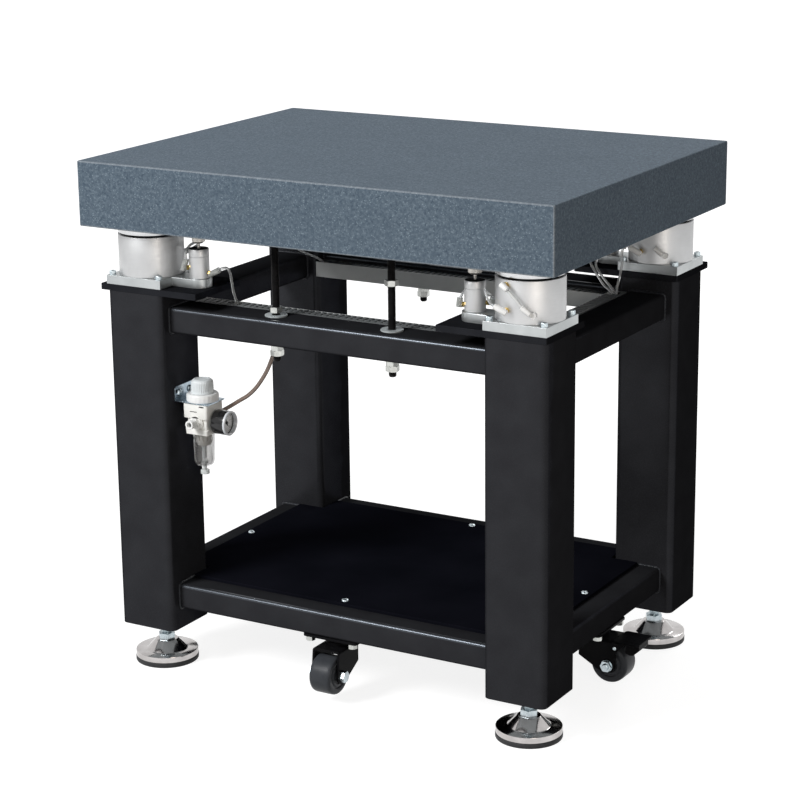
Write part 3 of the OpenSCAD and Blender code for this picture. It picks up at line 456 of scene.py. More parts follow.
# A screw thread along Z, as one profile swept round and up
def thread(radius, pitch, length, steps=16):
    core = radius - 0.61 * pitch
    shape = bmesh.new()
    profile = [(core, 0), (core, 0.12), (radius, 0.46), (radius, 0.60), (core, 1)]
    points = [shape.verts.new((r, 0, z * pitch)) for r, z in profile]
    edges = [shape.edges.new(pair) for pair in zip(points, points[1:])]
    turns = int(length / pitch)
    bmesh.ops.spin(shape, geom=points + edges, cent=(0, 0, 0), axis=(0, 0, 1),
                   dvec=(0, 0, pitch / steps), angle=fullTurn * turns, steps=steps * turns,
                   use_duplicate=False)
    bmesh.ops.remove_doubles(shape, verts=shape.verts, dist=0.005)
    gaps = [edge for edge in shape.edges if edge.is_boundary]
    bmesh.ops.holes_fill(shape, edges=gaps, sides=0)
    bmesh.ops.recalc_face_normals(shape, faces=shape.faces)
    return shape


# A ribbed round part: every second point of the circle stands back
def ribbed(ribs, outer, inner, layers):
    shape = bmesh.new()
    bmesh.ops.create_circle(shape, cap_ends=True, segments=ribs * 4, radius=outer)
    for k, corner in enumerate(shape.verts[:]):
        if k % 4 >= 2:
            corner.co *= inner / outer
    return stacked(shape, layers)


# A curve or a number as a shape, and the curve is used up
def fromCurve(data):
    carrier = bpy.data.objects.new("route", data)
    mesh = bpy.data.meshes.new_from_object(carrier)
    shape = bmesh.new()
    shape.from_mesh(mesh)
    bpy.data.objects.remove(carrier)
    bpy.data.curves.remove(data)
    bpy.data.meshes.remove(mesh)
    return shape


# A round tube through points
def tube(points, radius, smooth=True, rings=6, sides=12, radii=None, loop=False):
    data = bpy.data.curves.new("route", "CURVE")
    data.dimensions = "3D"
    data.resolution_u = rings
    data.bevel_depth = radius
    data.bevel_resolution = sides // 2 - 2
    data.use_fill_caps = True
    spline = data.splines.new("BEZIER" if smooth else "POLY")
    holders = spline.bezier_points if smooth else spline.points
    holders.add(len(points) - 1)
    for k, (holder, point) in enumerate(zip(holders, points)):
        if smooth:
            holder.co = point
            holder.handle_left_type = holder.handle_right_type = "AUTO"
        else:
            holder.co = (*point, 1)
        if radii:
            holder.radius = radii[k]
    spline.use_cyclic_u = loop
    shape = fromCurve(data)
    bmesh.ops.remove_doubles(shape, verts=shape.verts, dist=0.0005)
    return shape


# Makes the object from a shape, or from parts with their places: in metres, smooth where the
# angle is small, riding on its body
def finished(shape, name, body, finish, nodes=(), sharp=34, weighted=False):
    if isinstance(shape, list):
        shape = gathered(*shape)
    bmesh.ops.remove_doubles(shape, verts=shape.verts, dist=0.0005)
    bmesh.ops.recalc_face_normals(shape, faces=shape.faces)
    bmesh.ops.scale(shape, verts=shape.verts, vec=(0.001, 0.001, 0.001))
    mesh = bpy.data.meshes.new(name)
    shape.to_mesh(mesh)
    shape.free()
    for key in ([finish] if isinstance(finish, str) else finish):
        mesh.materials.append(finishes[key])
    for face in mesh.polygons:
        face.use_smooth = True
    mesh.set_sharp_from_angle(angle=math.radians(sharp))
    piece = bpy.data.objects.new(name, mesh)
    scene.collection.objects.link(piece)
    if weighted:
        normals = piece.modifiers.new("flatFaces", "WEIGHTED_NORMAL")
        normals.keep_sharp = True
    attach(piece, body)
    if nodes:
        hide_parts(*nodes)
    return piece


corners = {"front_left": (-1, -1), "front_right": (1, -1), "rear_left": (-1, 1),
           "rear_right": (1, 1)}
post = {"x": 325, "y": 222, "side": 100, "corner": 10, "wall": 4, "bottom": 68, "top": 608}
cornerPlaces = {name: Vector((x * post["x"], y * post["y"], 0)) for name, (x, y) in corners.items()}


def atCorners(height, turn=0.0):
    return [moved(place.x, place.y, height, turn) for place in cornerPlaces.values()]


# Granite slab, a block whose arrises are lighter, partly honed stone and partly a painted
# highlight, apart from those along its short sides, which keep the plain granite
slab = {"length": 800, "depth": 600, "thickness": 100, "top": 810, "arris": 2.2}


def makeSlab():
    shape = raised(flatFace(rectangle(slab["length"], slab["depth"])), slab["thickness"])
    placed(shape, moved(0, 0, slab["top"] - slab["thickness"]))
    made = bmesh.ops.bevel(shape, geom=shape.edges[:], offset=slab["arris"], offset_type="OFFSET",
                           affect="EDGES", segments=3, profile=0.5, material=-1)
    shape.normal_update()
    # Arrises off the short sides take the lighter finish: honed stone with a painted highlight
    for face in made["faces"]:
        short = abs(face.normal.y) < 0.05 and abs(face.normal.x) > 0.05
        face.material_index = 0 if short else 1
    finished(shape, "graniteSlab", "table_top", ("granite", "arris"), ["granite_top"],
             weighted=True)


makeSlab()

# Legs and rails: rounded tubes, with a coated weld bead round every rail's end
rail = {"width": 60, "height": 40, "corner": 5, "wall": 3, "upper": 567, "lower": 122, "bore": 8}
bead = {"radius": 2.3, "step": 2.1, "ripple": 0.22, "wander": 0.07,
        "stand": 0.7, "inset": 0.4}
rodPlaces = [(x, y) for x in (-100, 100) for y in (-222, 222)]


def atRods(height):
    return [moved(x, y, height) for x, y in rodPlaces]


def hollowSection(width, depth, corner, wall, length):
    outer = flatFace(rectangle(width, depth), corner)
    inner = flatFace(rectangle(width - 2 * wall, depth - 2 * wall), max(corner - wall, 1.5))
    shape = addCopies(outer, inner, [Matrix.Identity(4)])
    bmesh.ops.delete(shape, geom=shape.faces[:], context="FACES_ONLY")
    bmesh.ops.bridge_loops(shape, edges=shape.edges[:])
    return raised(shape, length)


# Painted highlight: the upper bends of the long rails take the second finish, the same black coat
# made glossier with a bluish tint, so that they show highlight lines
def markBendHighlights(shape):
    shape.normal_update()
    for face in shape.faces:
        face.material_index = int(0.06 < face.normal.z < 0.998 and abs(face.normal.x) < 0.05)
    return shape


def railPlaces(level):
    insideX, insideY = post["x"] - post["side"] / 2, post["y"] - post["side"] / 2
    along = spun(90, "Y") @ spun(90, "Z")
    across = spun(90, "Z") @ along
    longOnes = [moved(-insideX, side * post["y"], level) @ along for side in (-1, 1)]
    shortOnes = [moved(side * post["x"], -insideY, level) @ across for side in (-1, 1)]
    return longOnes, shortOnes, 2 * insideX, 2 * insideY


def makeFrame():
    leg = hollowSection(post["side"], post["side"], post["corner"], post["wall"],
                        post["top"] - post["bottom"])
    finished([(leg, atCorners(post["bottom"]))], "legTubes", "frame", "frame", ["legs"])
    sizes = (rail["width"], rail["height"], rail["corner"], rail["wall"])
    for name, level, node in (("upperRailTubes", rail["upper"], "upper_rails"),
                              ("lowerRailTubes", rail["lower"], "lower_rails")):
        longOnes, shortOnes, longRun, shortRun = railPlaces(level)
        shape = gathered((hollowSection(*sizes, longRun), longOnes),
                         (hollowSection(*sizes, shortRun), shortOnes))
        if node == "upper_rails":
            shape = combined(shape, gathered((plug(rail["bore"], -30, 30, 32), atRods(level))))
        finished(markBendHighlights(shape), name, "frame", ("frame", "bendHighlight"), [node])


def makeWelds():
    width, height = rail["width"] + 2 * bead["stand"], rail["height"] + 2 * bead["stand"]
    outline = flatFace(rectangle(width, height), rail["corner"], 4)
    path = [v.co.copy() for v in outline.faces[:][0].verts]
    outline.free()
    points = []
    for start, end in zip(path, path[1:] + path[:1]):
        count = max(1, round((end - start).length / bead["step"]))
        points += [start.lerp(end, k / count) for k in range(count)]
    radii = [1 + bead["ripple"] * math.sin(k * 2.2) + bead["wander"] * math.sin(k * 0.61 + 1)
             for k in range(len(points))]
    loop = tube(points, bead["radius"], smooth=False, sides=8, radii=radii, loop=True)
    places = []
    for level in (rail["upper"], rail["lower"]):
        longOnes, shortOnes, longRun, shortRun = railPlaces(level)
        for ends, run in ((longOnes, longRun), (shortOnes, shortRun)):
            places += [near @ moved(0, 0, along) for near in ends
                       for along in (bead["inset"], run - bead["inset"])]
    finished([(loop, places)], "weldBeads", "frame", "weld", sharp=60)


makeFrame()
makeWelds()
print("frame tubes and welds made")

# Black plates on the legs
mountPlate = {"length": 175, "width": 120, "thickness": 10, "bottom": 608, "corner": 1.0,
              "edge": 0.7, "frontLeftShift": 11}


def makeMountPlates():
    size = mountPlate
    part = block(size["length"], size["width"], size["thickness"], size["corner"], size["edge"], 2)
    places = []
    for name, (x, y) in corners.items():
        shift = size["frontLeftShift"] if name == "front_left" else 0
        outer = post["x"] + post["side"] / 2 + shift
        places.append(moved(x * (outer - size["length"] / 2),
                            y * post["y"] + (size["width"] - post["side"]) / 2, size["bottom"]))
    finished([(part, places)], "mountPlates", "frame", "plate",
             ["isolator_mounting_plates"], weighted=True)


makeMountPlates()

# Shelf with notched corners, and the pan screws
shelf = {"reachX": 318, "reachY": 215, "notchX": 272, "notchY": 169, "bottom": 142,
         "thickness": 5, "edge": 0.7}
panScrew = {"head": 5.5, "height": 3.4, "shank": 2.5, "arm": 2.6, "slot": 1.2, "deep": 1.3}
shelfScrews = [(-306.5, 0), (306.5, 0), (0, -203.5), (0, 203.5)]
bracketScrews = [(-273, -236, 450), (-273, -208, 450)]


def makeShelf():
    x, y, nx, ny = shelf["reachX"], shelf["reachY"], shelf["notchX"], shelf["notchY"]
    outline = [(-nx, -y), (nx, -y), (nx, -ny), (x, -ny), (x, ny), (nx, ny), (nx, y), (-nx, y),
               (-nx, ny), (-x, ny), (-x, -ny), (-nx, -ny)]
    shape = softened(raised(flatFace(outline, 1.5, 3), shelf["thickness"]), shelf["edge"])
    placed(shape, moved(0, 0, shelf["bottom"]))
    finished(shape, "shelfSheet", "frame", "shelf", ["shelf_panel"], weighted=True)


def makePanScrews():
    r, h, shank = panScrew["head"], panScrew["height"], panScrew["shank"]
    head = turned([(0, -6), (shank, -6), (shank, 0), (r - 0.2, 0), (r, 0.2), (r - 0.1, 1.2),
                   (r - 0.5, 2.0), (r - 1.2, 2.7), (r - 2.4, h - 0.2), (r - 3.6, h), (0, h)], 32)
    arm, half = panScrew["arm"], panScrew["slot"] / 2
    cross = raised(flatFace([(arm, -half), (arm, half), (half, half), (half, arm), (-half, arm),
                             (-half, half), (-arm, half), (-arm, -half), (-half, -half),
                             (-half, -arm), (half, -arm), (half, -half)]), 3)
    placed(cross, moved(0, 0, h - panScrew["deep"]))
    head = combined(head, cross)
    top = shelf["bottom"] + shelf["thickness"]
    places = [moved(x, y, top, 25 * k) for k, (x, y) in enumerate(shelfScrews)]
    places += [moved(*spot) @ spun(90, "Y") for spot in bracketScrews]
    finished([(head, places)], "panScrews", "frame", "zinc", ["pan_head_screws"])


makeShelf()
makePanScrews()

# Air mounts: base plate, socket screws, housing and cap
mount = {"side": 100, "baseBottom": 618, "baseTop": 632, "radius": 50, "housing": 62,
         "bore": 40, "floor": 8, "capBottom": 697, "cap": 13, "boss": 26, "screwAt": 43}
baseScrew = {"radius": 5, "height": 6, "flats": 5, "deep": 3.5, "knurls": 30}
valve = {"reach": 88, "radius": 15.5, "top": 677, "foot": 38, "seam": 665.5, "floor": 641,
         "bore": 2.6}
valveCorners = ("front_left", "front_right", "rear_right")


def valvePlaces(height):
    return [moved(cornerPlaces[name].x - corners[name][0] * valve["reach"], cornerPlaces[name].y,
                  height, 0 if name == "front_left" else 180) for name in valveCorners]


def makeBasePlates():
    half, side, end = mount["side"] / 2, valve["foot"] / 2, valve["reach"] + valve["foot"] / 2
    square = [(half, half), (-half, half), (-half, -half), (half, -half)]
    shape = bmesh.new()
    for name, place in cornerPlaces.items():
        if name in valveCorners:
            plate = flatFace(square + [(half, -side), (end, -side), (end, side), (half, side)])
            rounded(plate, [v for v in plate.verts if v.co.x > half + 1], side - 0.2, 12)
        else:
            plate = flatFace(square)
        softened(raised(plate, mount["baseTop"] - mount["baseBottom"]), 0.8)
        turn = 0 if corners[name][0] < 0 else 180
        addCopies(shape, plate, [moved(place.x, place.y, mount["baseBottom"], turn)])
    finished(shape, "mountBases", "frame", "milled", ["isolator_base_plates"],
             weighted=True)


def makeMountScrews():
    s, at = baseScrew, mount["screwAt"]
    head = ribbed(s["knurls"], s["radius"], s["radius"] * 0.972,
                  [(s["height"] - 0.9, 1), (0.5, 0.975), (0.4, 0.93)])
    recess = raised(flatFace(hexagon(s["flats"])), s["deep"] + 1)
    part = combined(head, placed(recess, moved(0, 0, s["height"] - s["deep"])))
    places = [moved(place.x + x * at, place.y + y * at, mount["baseTop"], 17 * (x + 2 * y))
              for place in cornerPlaces.values() for x in (-1, 1) for y in (-1, 1)]
    finished([(part, places)], "mountScrews", "frame", "zinc", ["isolator_base_screws"])


def makeMountBodies():
    r, top, cap = mount["radius"], mount["housing"], mount["cap"]
    housing = turned([(0, 0), (r - 0.5, 0), (r, 0.5), (r, top - 0.8), (r - 0.25, top - 0.25),
                      (r - 0.8, top), (r - 3, top), (r - 3, top - 1.5),
                      (mount["bore"], top - 1.5), (mount["bore"], mount["floor"]),
                      (0, mount["floor"])], 120)
    finished([(housing, atCorners(mount["baseTop"]))], "mountHousings", "frame",
             "aluminium", ["isolator_housings"], sharp=40)
    lid = turned([(0, 0), (r - 0.8, 0), (r - 0.25, 0.25), (r, 0.8), (r, cap - 0.8),
                  (r - 0.25, cap - 0.25), (r - 0.8, cap), (0, cap)], 120)
    boss = plug(mount["boss"], -1.5, 0.2)
    places = atCorners(mount["capBottom"])
    finished([(lid, places), (boss, places)], "mountCaps", "table_top", "cap",
             ["isolator_top_caps"], sharp=40)


makeBasePlates()
makeMountScrews()
makeMountBodies()

# Level valves: body with a seam, black disc, plunger, and the knurled head under the slab
contact = {"bottom": 685, "radius": 10, "knurls": 36, "stud": 4, "pitch": 1.25, "studTop": 722}


def makeValves():
    r, low, top, seam = valve["radius"], mount["baseTop"], valve["top"], valve["seam"]
    body = turned([(0, low), (r - 0.5, low), (r, low + 0.5), (r, seam - 0.5),
                   (r - 0.45, seam - 0.2), (r - 0.45, seam + 0.2), (r, seam + 0.5), (r, top - 0.8),
                   (r - 0.6, top), (r - 1, top), (r - 1, top - 1), (valve["bore"], top - 1),
                   (valve["bore"], valve["floor"]), (0, valve["floor"])], 64)
    finished([(body, valvePlaces(0))], "valveBodies", "frame", "aluminium",
             ["level_valve_bodies"], sharp=40)
    disc = turned([(2.8, top - 1), (r - 1.2, top - 1), (r - 1.2, top - 0.2), (r - 1.6, top),
                   (3.2, top), (2.8, top - 0.4)], 48, ring=True)
    finished([(disc, valvePlaces(0))], "valveDiscs", "frame", "blackRubber")
    pin = turned([(0, 645), (1.9, 645), (2.3, 645.4), (2.3, 681), (2.0, 681.4), (2.0, 682.4),
                  (2.3, 682.8), (2.3, 684.2), (1.7, 684.9), (0, 685)], 32)
    finished([(pin, valvePlaces(0))], "valvePlungers", "valve_plungers", "steel",
             ["level_valve_plungers"])


def makeContactHeads():
    r = contact["radius"]
    head = ribbed(contact["knurls"], 6.5, 6.5, [
        (0.6, 1.09), (2.2, 1.36), (0.5, 1.03), (5.2, 1), (0.5, 0.975), (1.0, 0.94)])
    for corner in head.verts:
        flat = math.hypot(corner.co.x, corner.co.y)
        if flat > r - 0.6:
            corner.co.xy *= (r - 0.02) / flat
    groove = [v for v in head.verts if math.hypot(v.co.x, v.co.y) > r - 0.1]
    for corner in groove:
        turn = math.atan2(corner.co.y, corner.co.x)
        if math.sin(turn * contact["knurls"]) < 0:
            corner.co.xy *= 0.965
    low = contact["bottom"]
    screw = thread(contact["stud"], contact["pitch"], contact["studTop"] - low - 10)
    finished([(head, valvePlaces(low)), (screw, valvePlaces(low + 9.5))], "contactHeads",
             "table_top", "steel", ["level_contact_heads"], sharp=28)


makeValves()
makeContactHeads()
print("air mounts and valves made")

# Stop rods with their nuts and washers
rod = {"radius": 6, "pitch": 1.75, "bottom": 518, "top": 735}
rodNut = {"flats": 18, "height": 8.5, "upper": 593, "backedOff": 654,
          "under": ((535, 8), (526.5, 38))}
railWasher = {"radius": 17, "bore": 6.8, "thickness": 2.5, "bottom": 587}


def makeStopRods():
    shank = thread(rod["radius"], rod["pitch"], rod["top"] - rod["bottom"] - 2)
    tip = turned([(0, 0), (4.2, 0), (5.1, 0.9), (5.1, 4), (0, 4)], 32)
    finished([(shank, atRods(rod["bottom"] + 1)), (tip, atRods(rod["bottom"]))], "stopRods",
             "table_top", "oxide", ["stop_rods"], sharp=28)
    nut = hexNut(rodNut["flats"], rodNut["height"], rod["radius"] - 0.4, 1.1)
    places = []
    for x, y in rodPlaces:
        backedOff = x > 0 and y < 0
        places.append(moved(x, y, rodNut["backedOff" if backedOff else "upper"],
                            20 + (10 if x > 0 else -10)))
        places += [moved(x, y, height, turn) for height, turn in rodNut["under"]]
    finished([(nut, places)], "rodNuts", "table_top", "warmZinc", ["stop_rod_nuts"])
    bore, r, h = railWasher["bore"], railWasher["radius"], railWasher["thickness"]
    ring = turned([(bore, 0), (r - 0.4, 0), (r, 0.4), (r, h - 0.5), (r - 0.5, h), (bore + 0.3, h),
                   (bore, h - 0.3)], 64, True)
    finished([(ring, atRods(railWasher["bottom"]))], "railWashers", "frame", "washer",
             ["rail_washers"])


makeStopRods()

# Levelling feet: rubber pad, chromed disc with its cone, and the stud with its hexagon
foot = {"radius": 50, "rubber": 8, "discTop": 17.5, "coneTop": 33.5, "hexBottom": 33.8,
        "hexTop": 43.3, "flats": 24, "stud": 8, "pitch": 2.0, "studBottom": 13, "studTop": 110}
footTurns = {"front_left": 12, "front_right": -8, "rear_left": 20, "rear_right": 3}


def makeFeet():
    f, r, low = foot, foot["radius"], foot["rubber"]
    disc, cone = foot["discTop"], foot["coneTop"]
    for name, place in cornerPlaces.items():
        at = [moved(place.x, place.y, 0)]
        pad = turned([(0, 0), (r - 1.4, 0), (r - 0.4, 0.5), (r, 1.5), (r, low - 1.1),
                      (r - 0.4, low - 0.4), (r - 1.2, low), (0, low)], 96)
        finished([(pad, at)], "footPad_" + name, "foot_pad_" + name, "rubber",
                 ["foot_rubber_" + name])
        base = turned([(0, low), (r - 1.1, low), (r - 0.5, low + 0.6), (r - 0.5, disc - 1),
                       (r - 0.8, disc - 0.3), (r - 1.5, disc), (33.8, disc), (32.6, disc + 0.3),
                       (31.6, disc + 1.1), (18.4, cone - 0.9), (17.6, cone - 0.2), (16.8, cone),
                       (8.4, cone), (8.1, cone - 0.3), (8.1, 12), (0, 12)], 96)
        finished([(base, at)], "footCone_" + name, "foot_pad_" + name, "chrome",
                 ["foot_base_" + name])
        screw = thread(f["stud"], f["pitch"], f["studTop"] - f["studBottom"])
        nut = hexNut(f["flats"], f["hexTop"] - f["hexBottom"], 0, 1.4)
        finished([(screw, [moved(place.x, place.y, f["studBottom"])]),
                  (nut, [moved(place.x, place.y, f["hexBottom"], footTurns[name])])],
                 "footStud_" + name, "foot_screw_" + name, "zinc", ["foot_stud_" + name],
                 sharp=28)


makeFeet()
print("rods and feet made")

# Casters, drawn with the trail along X and turned into place
casters = {"front": (0, -222, -90), "right": (325, 0, 0), "rear": (0, 222, 90),
           "left": (-325, 0, 180)}
braked = ("right", "left")
caster = {"trail": 32, "axle": 46, "wheel": 30, "half": 18, "forkIn": 20, "forkOut": 24,
          "crown": 87, "kingpin": 8.4, "plate": 98, "plateSize": (60, 95, 4),
          "bolts": (22.5, 37.5), "boltNut": 91, "pivot": (45, 77)}
axleBolt = {"flats": 16, "head": 7, "nut": 6, "radius": 5, "end": 33}
pedal = {"size": (44, 53, 3), "middle": 63, "bottom": 85, "cheeks": (24.5, -26.5),
         "ribs": (-15, 0, 15), "brakeWidth": 34}


def casterPlace(name):
    x, y, turn = casters[name]
    return moved(x, y, 0, turn)


def makeTopPlates():
    places = [casterPlace(name) for name in casters]
    plate = placed(block(*caster["plateSize"], 5, 0.6), moved(0, 0, caster["plate"]))
    race = turned([(8, 87.4), (20.6, 87.4), (21.4, 88.0), (21.4, 91.4), (20.9, 92), (20.9, 93),
                   (22, 93.8), (22, 96.6), (23.4, 98), (8, 98)], 56, True)
    pin = turned([(0, 79.7), (10.8, 79.7), (12, 80.6), (12, 82.7), (7.9, 82.7), (7.9, 92), (0, 92)],
                 48)
    finished([(plate, places), (race, places), (pin, places)], "casterPlates", "frame",
             "caster", ["caster_top_plates"])
    nut = hexNut(13, 7, 3.4, 0.9)
    end = turned([(0, 0), (3.1, 0), (3.9, 0.8), (3.9, 3), (0, 3)], 24)
    out, aside = caster["bolts"]
    spots = [place @ moved(x * out, y * aside, caster["boltNut"], 13 * (x + 2 * y))
             for place in places for x in (-1, 1) for y in (-1, 1)]
    finished([(nut, spots), (end, [spot @ moved(0, 0, -1) for spot in spots])], "casterNuts",
             "frame", "warmZinc", ["caster_bolts"])


# A bent sheet, cut to the outline of its sides, with cheeks for the pedal where there is one
def forkSheet(withBrake):
    inner, outer, top = caster["forkIn"], caster["forkOut"], caster["crown"]
    section = flatFace([(-outer, 0), (-outer, top), (outer, top), (outer, 0), (inner, 0),
                        (inner, top - 4), (-inner, top - 4), (-inner, 0)])
    rounded(section, [v for v in section.verts if v.co.y > top - 1], 4.5, 5)
    placed(raised(section, 90), moved(-20, 0, 0) @ runAlongX)
    trail, axle = caster["trail"], caster["axle"]
    sweep = [(trail + 12 * math.cos(a), axle + 12 * math.sin(a))
             for a in [math.radians(d) for d in range(10, -131, -15)]]
    nose = [(51, 77), (46, 71.5)] if withBrake else [(41.5, 66)]
    shoulder = [(45, 83), (39.5, 84.5), (39, 88)] if withBrake else [(39, 88)]
    outline = [(-16, 88), (-16, 56), (16, 38)] + sweep[::-1] + nose[::-1] + shoulder
    cutter = placed(raised(flatFace(outline), 80), moved(0, -40, 0) @ runAlongY)
    sheet = combined(section, cutter, "INTERSECT")
    return softened(combined(sheet, plug(caster["kingpin"], 70, 95, 32)), 0.7, 2, 40)


def makeForks():
    trail, axle, outer = caster["trail"], caster["axle"], caster["forkOut"]
    outwards, inwards = spun(-90, "X"), spun(90, "X")
    r, end, flats = axleBolt["radius"], axleBolt["end"], axleBolt["flats"]
    for name in casters:
        place = casterPlace(name)
        finished([(forkSheet(name in braked), [place])], "casterFork_" + name,
                 "caster_swivel_" + name, "caster", ["caster_fork_" + name],
                 weighted=True)
        bar = turned([(0, -end), (r - 1.2, -end), (r, 1.2 - end), (r, 26), (0, 26)], 32)
        head = hexNut(flats, axleBolt["head"], 0, 1.0, both=False)
        nut = hexNut(flats, axleBolt["nut"], r - 0.4, 1.0)
        washer = turned([(5.2, 0), (9.4, 0), (9.4, 1.2), (5.2, 1.2)], 40, True)
        hub = place @ moved(trail, 0, axle)
        nutEnd = hub @ moved(0, -outer, 0) @ inwards
        parts = [(bar, [hub @ outwards]), (head, [hub @ moved(0, outer, 0) @ outwards]),
                 (nut, [nutEnd]), (washer, [nutEnd])]
        if name in braked:
            rivet = turned([(0, 3), (2.9, 3), (2.9, 4.4), (2.0, 5.2), (0, 5.4)], 24)
            x, z = caster["pivot"]
            for side, turn in ((outer - 2, outwards), (-outer + 2, inwards)):
                parts.append((rivet.copy(), [place @ moved(x, side, z) @ turn]))
            rivet.free()
        finished(parts, "axleBolt_" + name, "caster_swivel_" + name, "zinc")


def makeWheels():
    r, w, trail, axle = caster["wheel"], caster["half"], caster["trail"], caster["axle"]
    side = [(5.3, w + 1), (8.6, w + 1), (9, w + 0.6), (9.1, w - 1.7), (9.5, w - 2), (12.6, w - 2),
            (12.9, w - 1.7), (13, w - 0.4), (13.4, w), (16.6, w), (17, w - 0.4), (17.1, w - 1.7),
            (17.5, w - 2), (19.5, w - 2), (19.9, w - 1.7), (20, w - 0.4), (20.4, w), (r - 3.6, w),
            (r - 2.2, w - 0.4), (r - 1.0, w - 1.6), (r - 0.3, w - 3.6), (r, w - 6.5)]
    profile = side + [(radius, -across) for radius, across in reversed(side)]
    for name in casters:
        wheel = turned(profile, 96, True)
        spot = casterPlace(name) @ moved(trail, 0, axle) @ spun(90, "X")
        finished([(wheel, [spot])], "casterTread_" + name, "wheel_" + name, "nylon",
                 ["caster_wheel_" + name], sharp=50)


def makePedals():
    x, z = caster["pivot"]
    middle, bottom, width = pedal["middle"], pedal["bottom"], pedal["brakeWidth"]
    for name in braked:
        plate = placed(block(*pedal["size"], 5, 0.8), moved(middle, 0, bottom))
        cheek = raised(flatFace([(41, 87), (39.2, 78), (41.5, 72.5), (45, 71), (49.5, 72.5),
                                 (64, 87)], 0.8, 2), 2)
        # The hole comes before the bevels, because a cut through fine bevels can lose the sheet
        cheek = softened(combined(cheek, placed(plug(3.1, -2, 4, 24), moved(x, z, 0))), 0.4)
        brake = softened(raised(flatFace([(59, 87), (59, 69), (66, 66), (72, 67), (82, 76),
                                          (82, 87)], 0.8, 2), width), 0.8)
        rib = block(30, 3, 1.0, 0.8, 0.3)
        place = casterPlace(name)
        finished([(plate, [place]),
                  (cheek, [place @ moved(0, y, 0) @ runAlongY for y in pedal["cheeks"]]),
                  (brake, [place @ moved(0, -width / 2, 0) @ runAlongY]),
                  (rib, [place @ moved(middle + 3, y, bottom + 2.2) for y in pedal["ribs"]])],
                 "brakePedal_" + name, "brake_" + name, "caster", ["brake_pedal_" + name],
                 weighted=True)


makeTopPlates()
makeForks()
makeWheels()
makePedals()
print("casters made")

# Air preparation: bracket, regulator, ring nut, knob, filter bowl and drain
regulator = {"x": -239, "y": -222, "port": 408, "bonnet": 437, "ringTop": 451, "bowlTop": 388,
             "bowlBottom": 334, "element": 368, "holder": 372.5, "stem": 345}
bracket = {"width": 50, "height": 24, "sheet": 2, "bore": 15.2}
ringNut = {"radius": 25, "height": 12, "notches": 24}
knob = {"radius": 17.55, "height": 22, "ribs": 40}


def makeBracket():
    x, y, z = regulator["x"], regulator["y"], regulator["bonnet"]
    inside, half = post["x"] - post["side"] / 2, bracket["width"] / 2
    high, sheet = z + bracket["height"], bracket["sheet"]
    # Bent from one strip: the profile in X and Z, drawn along Y
    strip = flatFace([(-inside, high), (-inside, z), (x + half, z), (x + half, z + sheet),
                      (-inside + sheet, z + sheet), (-inside + sheet, high)])
    rounded(strip, [v for v in strip.verts if v.co.x < -inside + 1 and v.co.y < z + 1], sheet, 4)
    placed(raised(strip, bracket["width"]), moved(0, y - half, 0) @ runAlongY)
    # Rounded corners on both flanges
    wall = raised(flatFace([(y - half, z - 1), (y + half, z - 1), (y + half, high),
                            (y - half, high)], 5, 4), 80)
    strip = combined(strip, placed(wall, moved(-inside - 20, 0, 0) @ runAlongX), "INTERSECT")
    tools = gathered((plug(bracket["bore"], z - 5, z + 5), [moved(x, y, 0)]),
                     (plug(3, -3, 5, 24), [moved(-inside, y - 20.5, z + 16) @ spun(90, "Y")]))
    finished(softened(combined(strip, tools), 0.3, 1, 50), "regulatorPlate", "frame", "bracket",
             ["regulator_bracket"], weighted=True)


def makeRegulator():
    x, y, port, bonnet = (regulator[key] for key in ("x", "y", "port", "bonnet"))
    facing = spun(90, "X")
    upper = block(44, 44, bonnet - port - 6, 3.4, 0.8)
    waist = block(36, 35, 24, 2.5, 0.5)
    collar = stacked(flatFace(rectangle(40, 40), 3), [(1.4, 1.0), (6.2, 1.03), (1.2, 0.97)])
    neck = turned([(5.2, 0), (15, 0), (15, 9), (14, 10), (14.6, 12), (5.2, 12)], 48, True)
    boss = turned([(4, 0), (9.4, 0), (10, 0.6), (10, 43.4), (9.4, 44), (4, 44)], 40, True)
    ledge = turned([(10, 1.6), (11.6, 1.6), (12, 2), (12, 6), (10, 6)], 40, True)
    side = turned([(0, 0), (8.4, 0), (9, 0.6), (9, 39.4), (8.4, 40), (0, 40)], 40)
    along = moved(x, y + 22, port) @ facing
    finished([(upper, [moved(x, y, port + 6)]), (waist, [moved(x, y, port - 16)]),
              (collar, [moved(x, y, regulator["bowlTop"])]), (neck, [moved(x, y, bonnet)]),
              (boss, [along]), (ledge, [along, moved(x, y - 14.4, port) @ facing]),
              (side, [moved(x - 18, y, port) @ spun(90, "Y")])],
             "regulatorHousing", "frame", "body", ["regulator_body"])
    mark = block(13, 1.1, 0.5, 0.5, 0.15)
    slot = block(9, 2.0, 0.5, 0.9, 0.15)
    finished([(mark, [moved(x - 3, y - 21.9, bonnet - 12) @ facing]),
              (slot, [moved(x + 12, y - 21.9, bonnet - 3.2) @ facing])],
             "regulatorMarks", "frame", "gauge")


def makeRingNut():
    r, h = ringNut["radius"], ringNut["height"]
    ring = turned([(15, 0), (r - 0.8, 0), (r, 0.8), (r, h - 2.4), (r - 0.5, h - 1.6),
                   (r - 2, h), (16.6, h), (15, h - 1.4)], 96, True)
    for corner in ring.verts:
        flat, turn = math.hypot(corner.co.x, corner.co.y), math.atan2(corner.co.y, corner.co.x)
        onSide = flat > r - 1 and 0.9 < corner.co.z < h - 1
        if onSide and math.cos(turn * ringNut["notches"]) > 0.6:
            corner.co.xy *= (r - 0.7) / flat
    finished([(ring, [moved(regulator["x"], regulator["y"], regulator["bonnet"] + 2)])],
             "regulatorRing", "frame", "ring", ["regulator_ring_nut"])


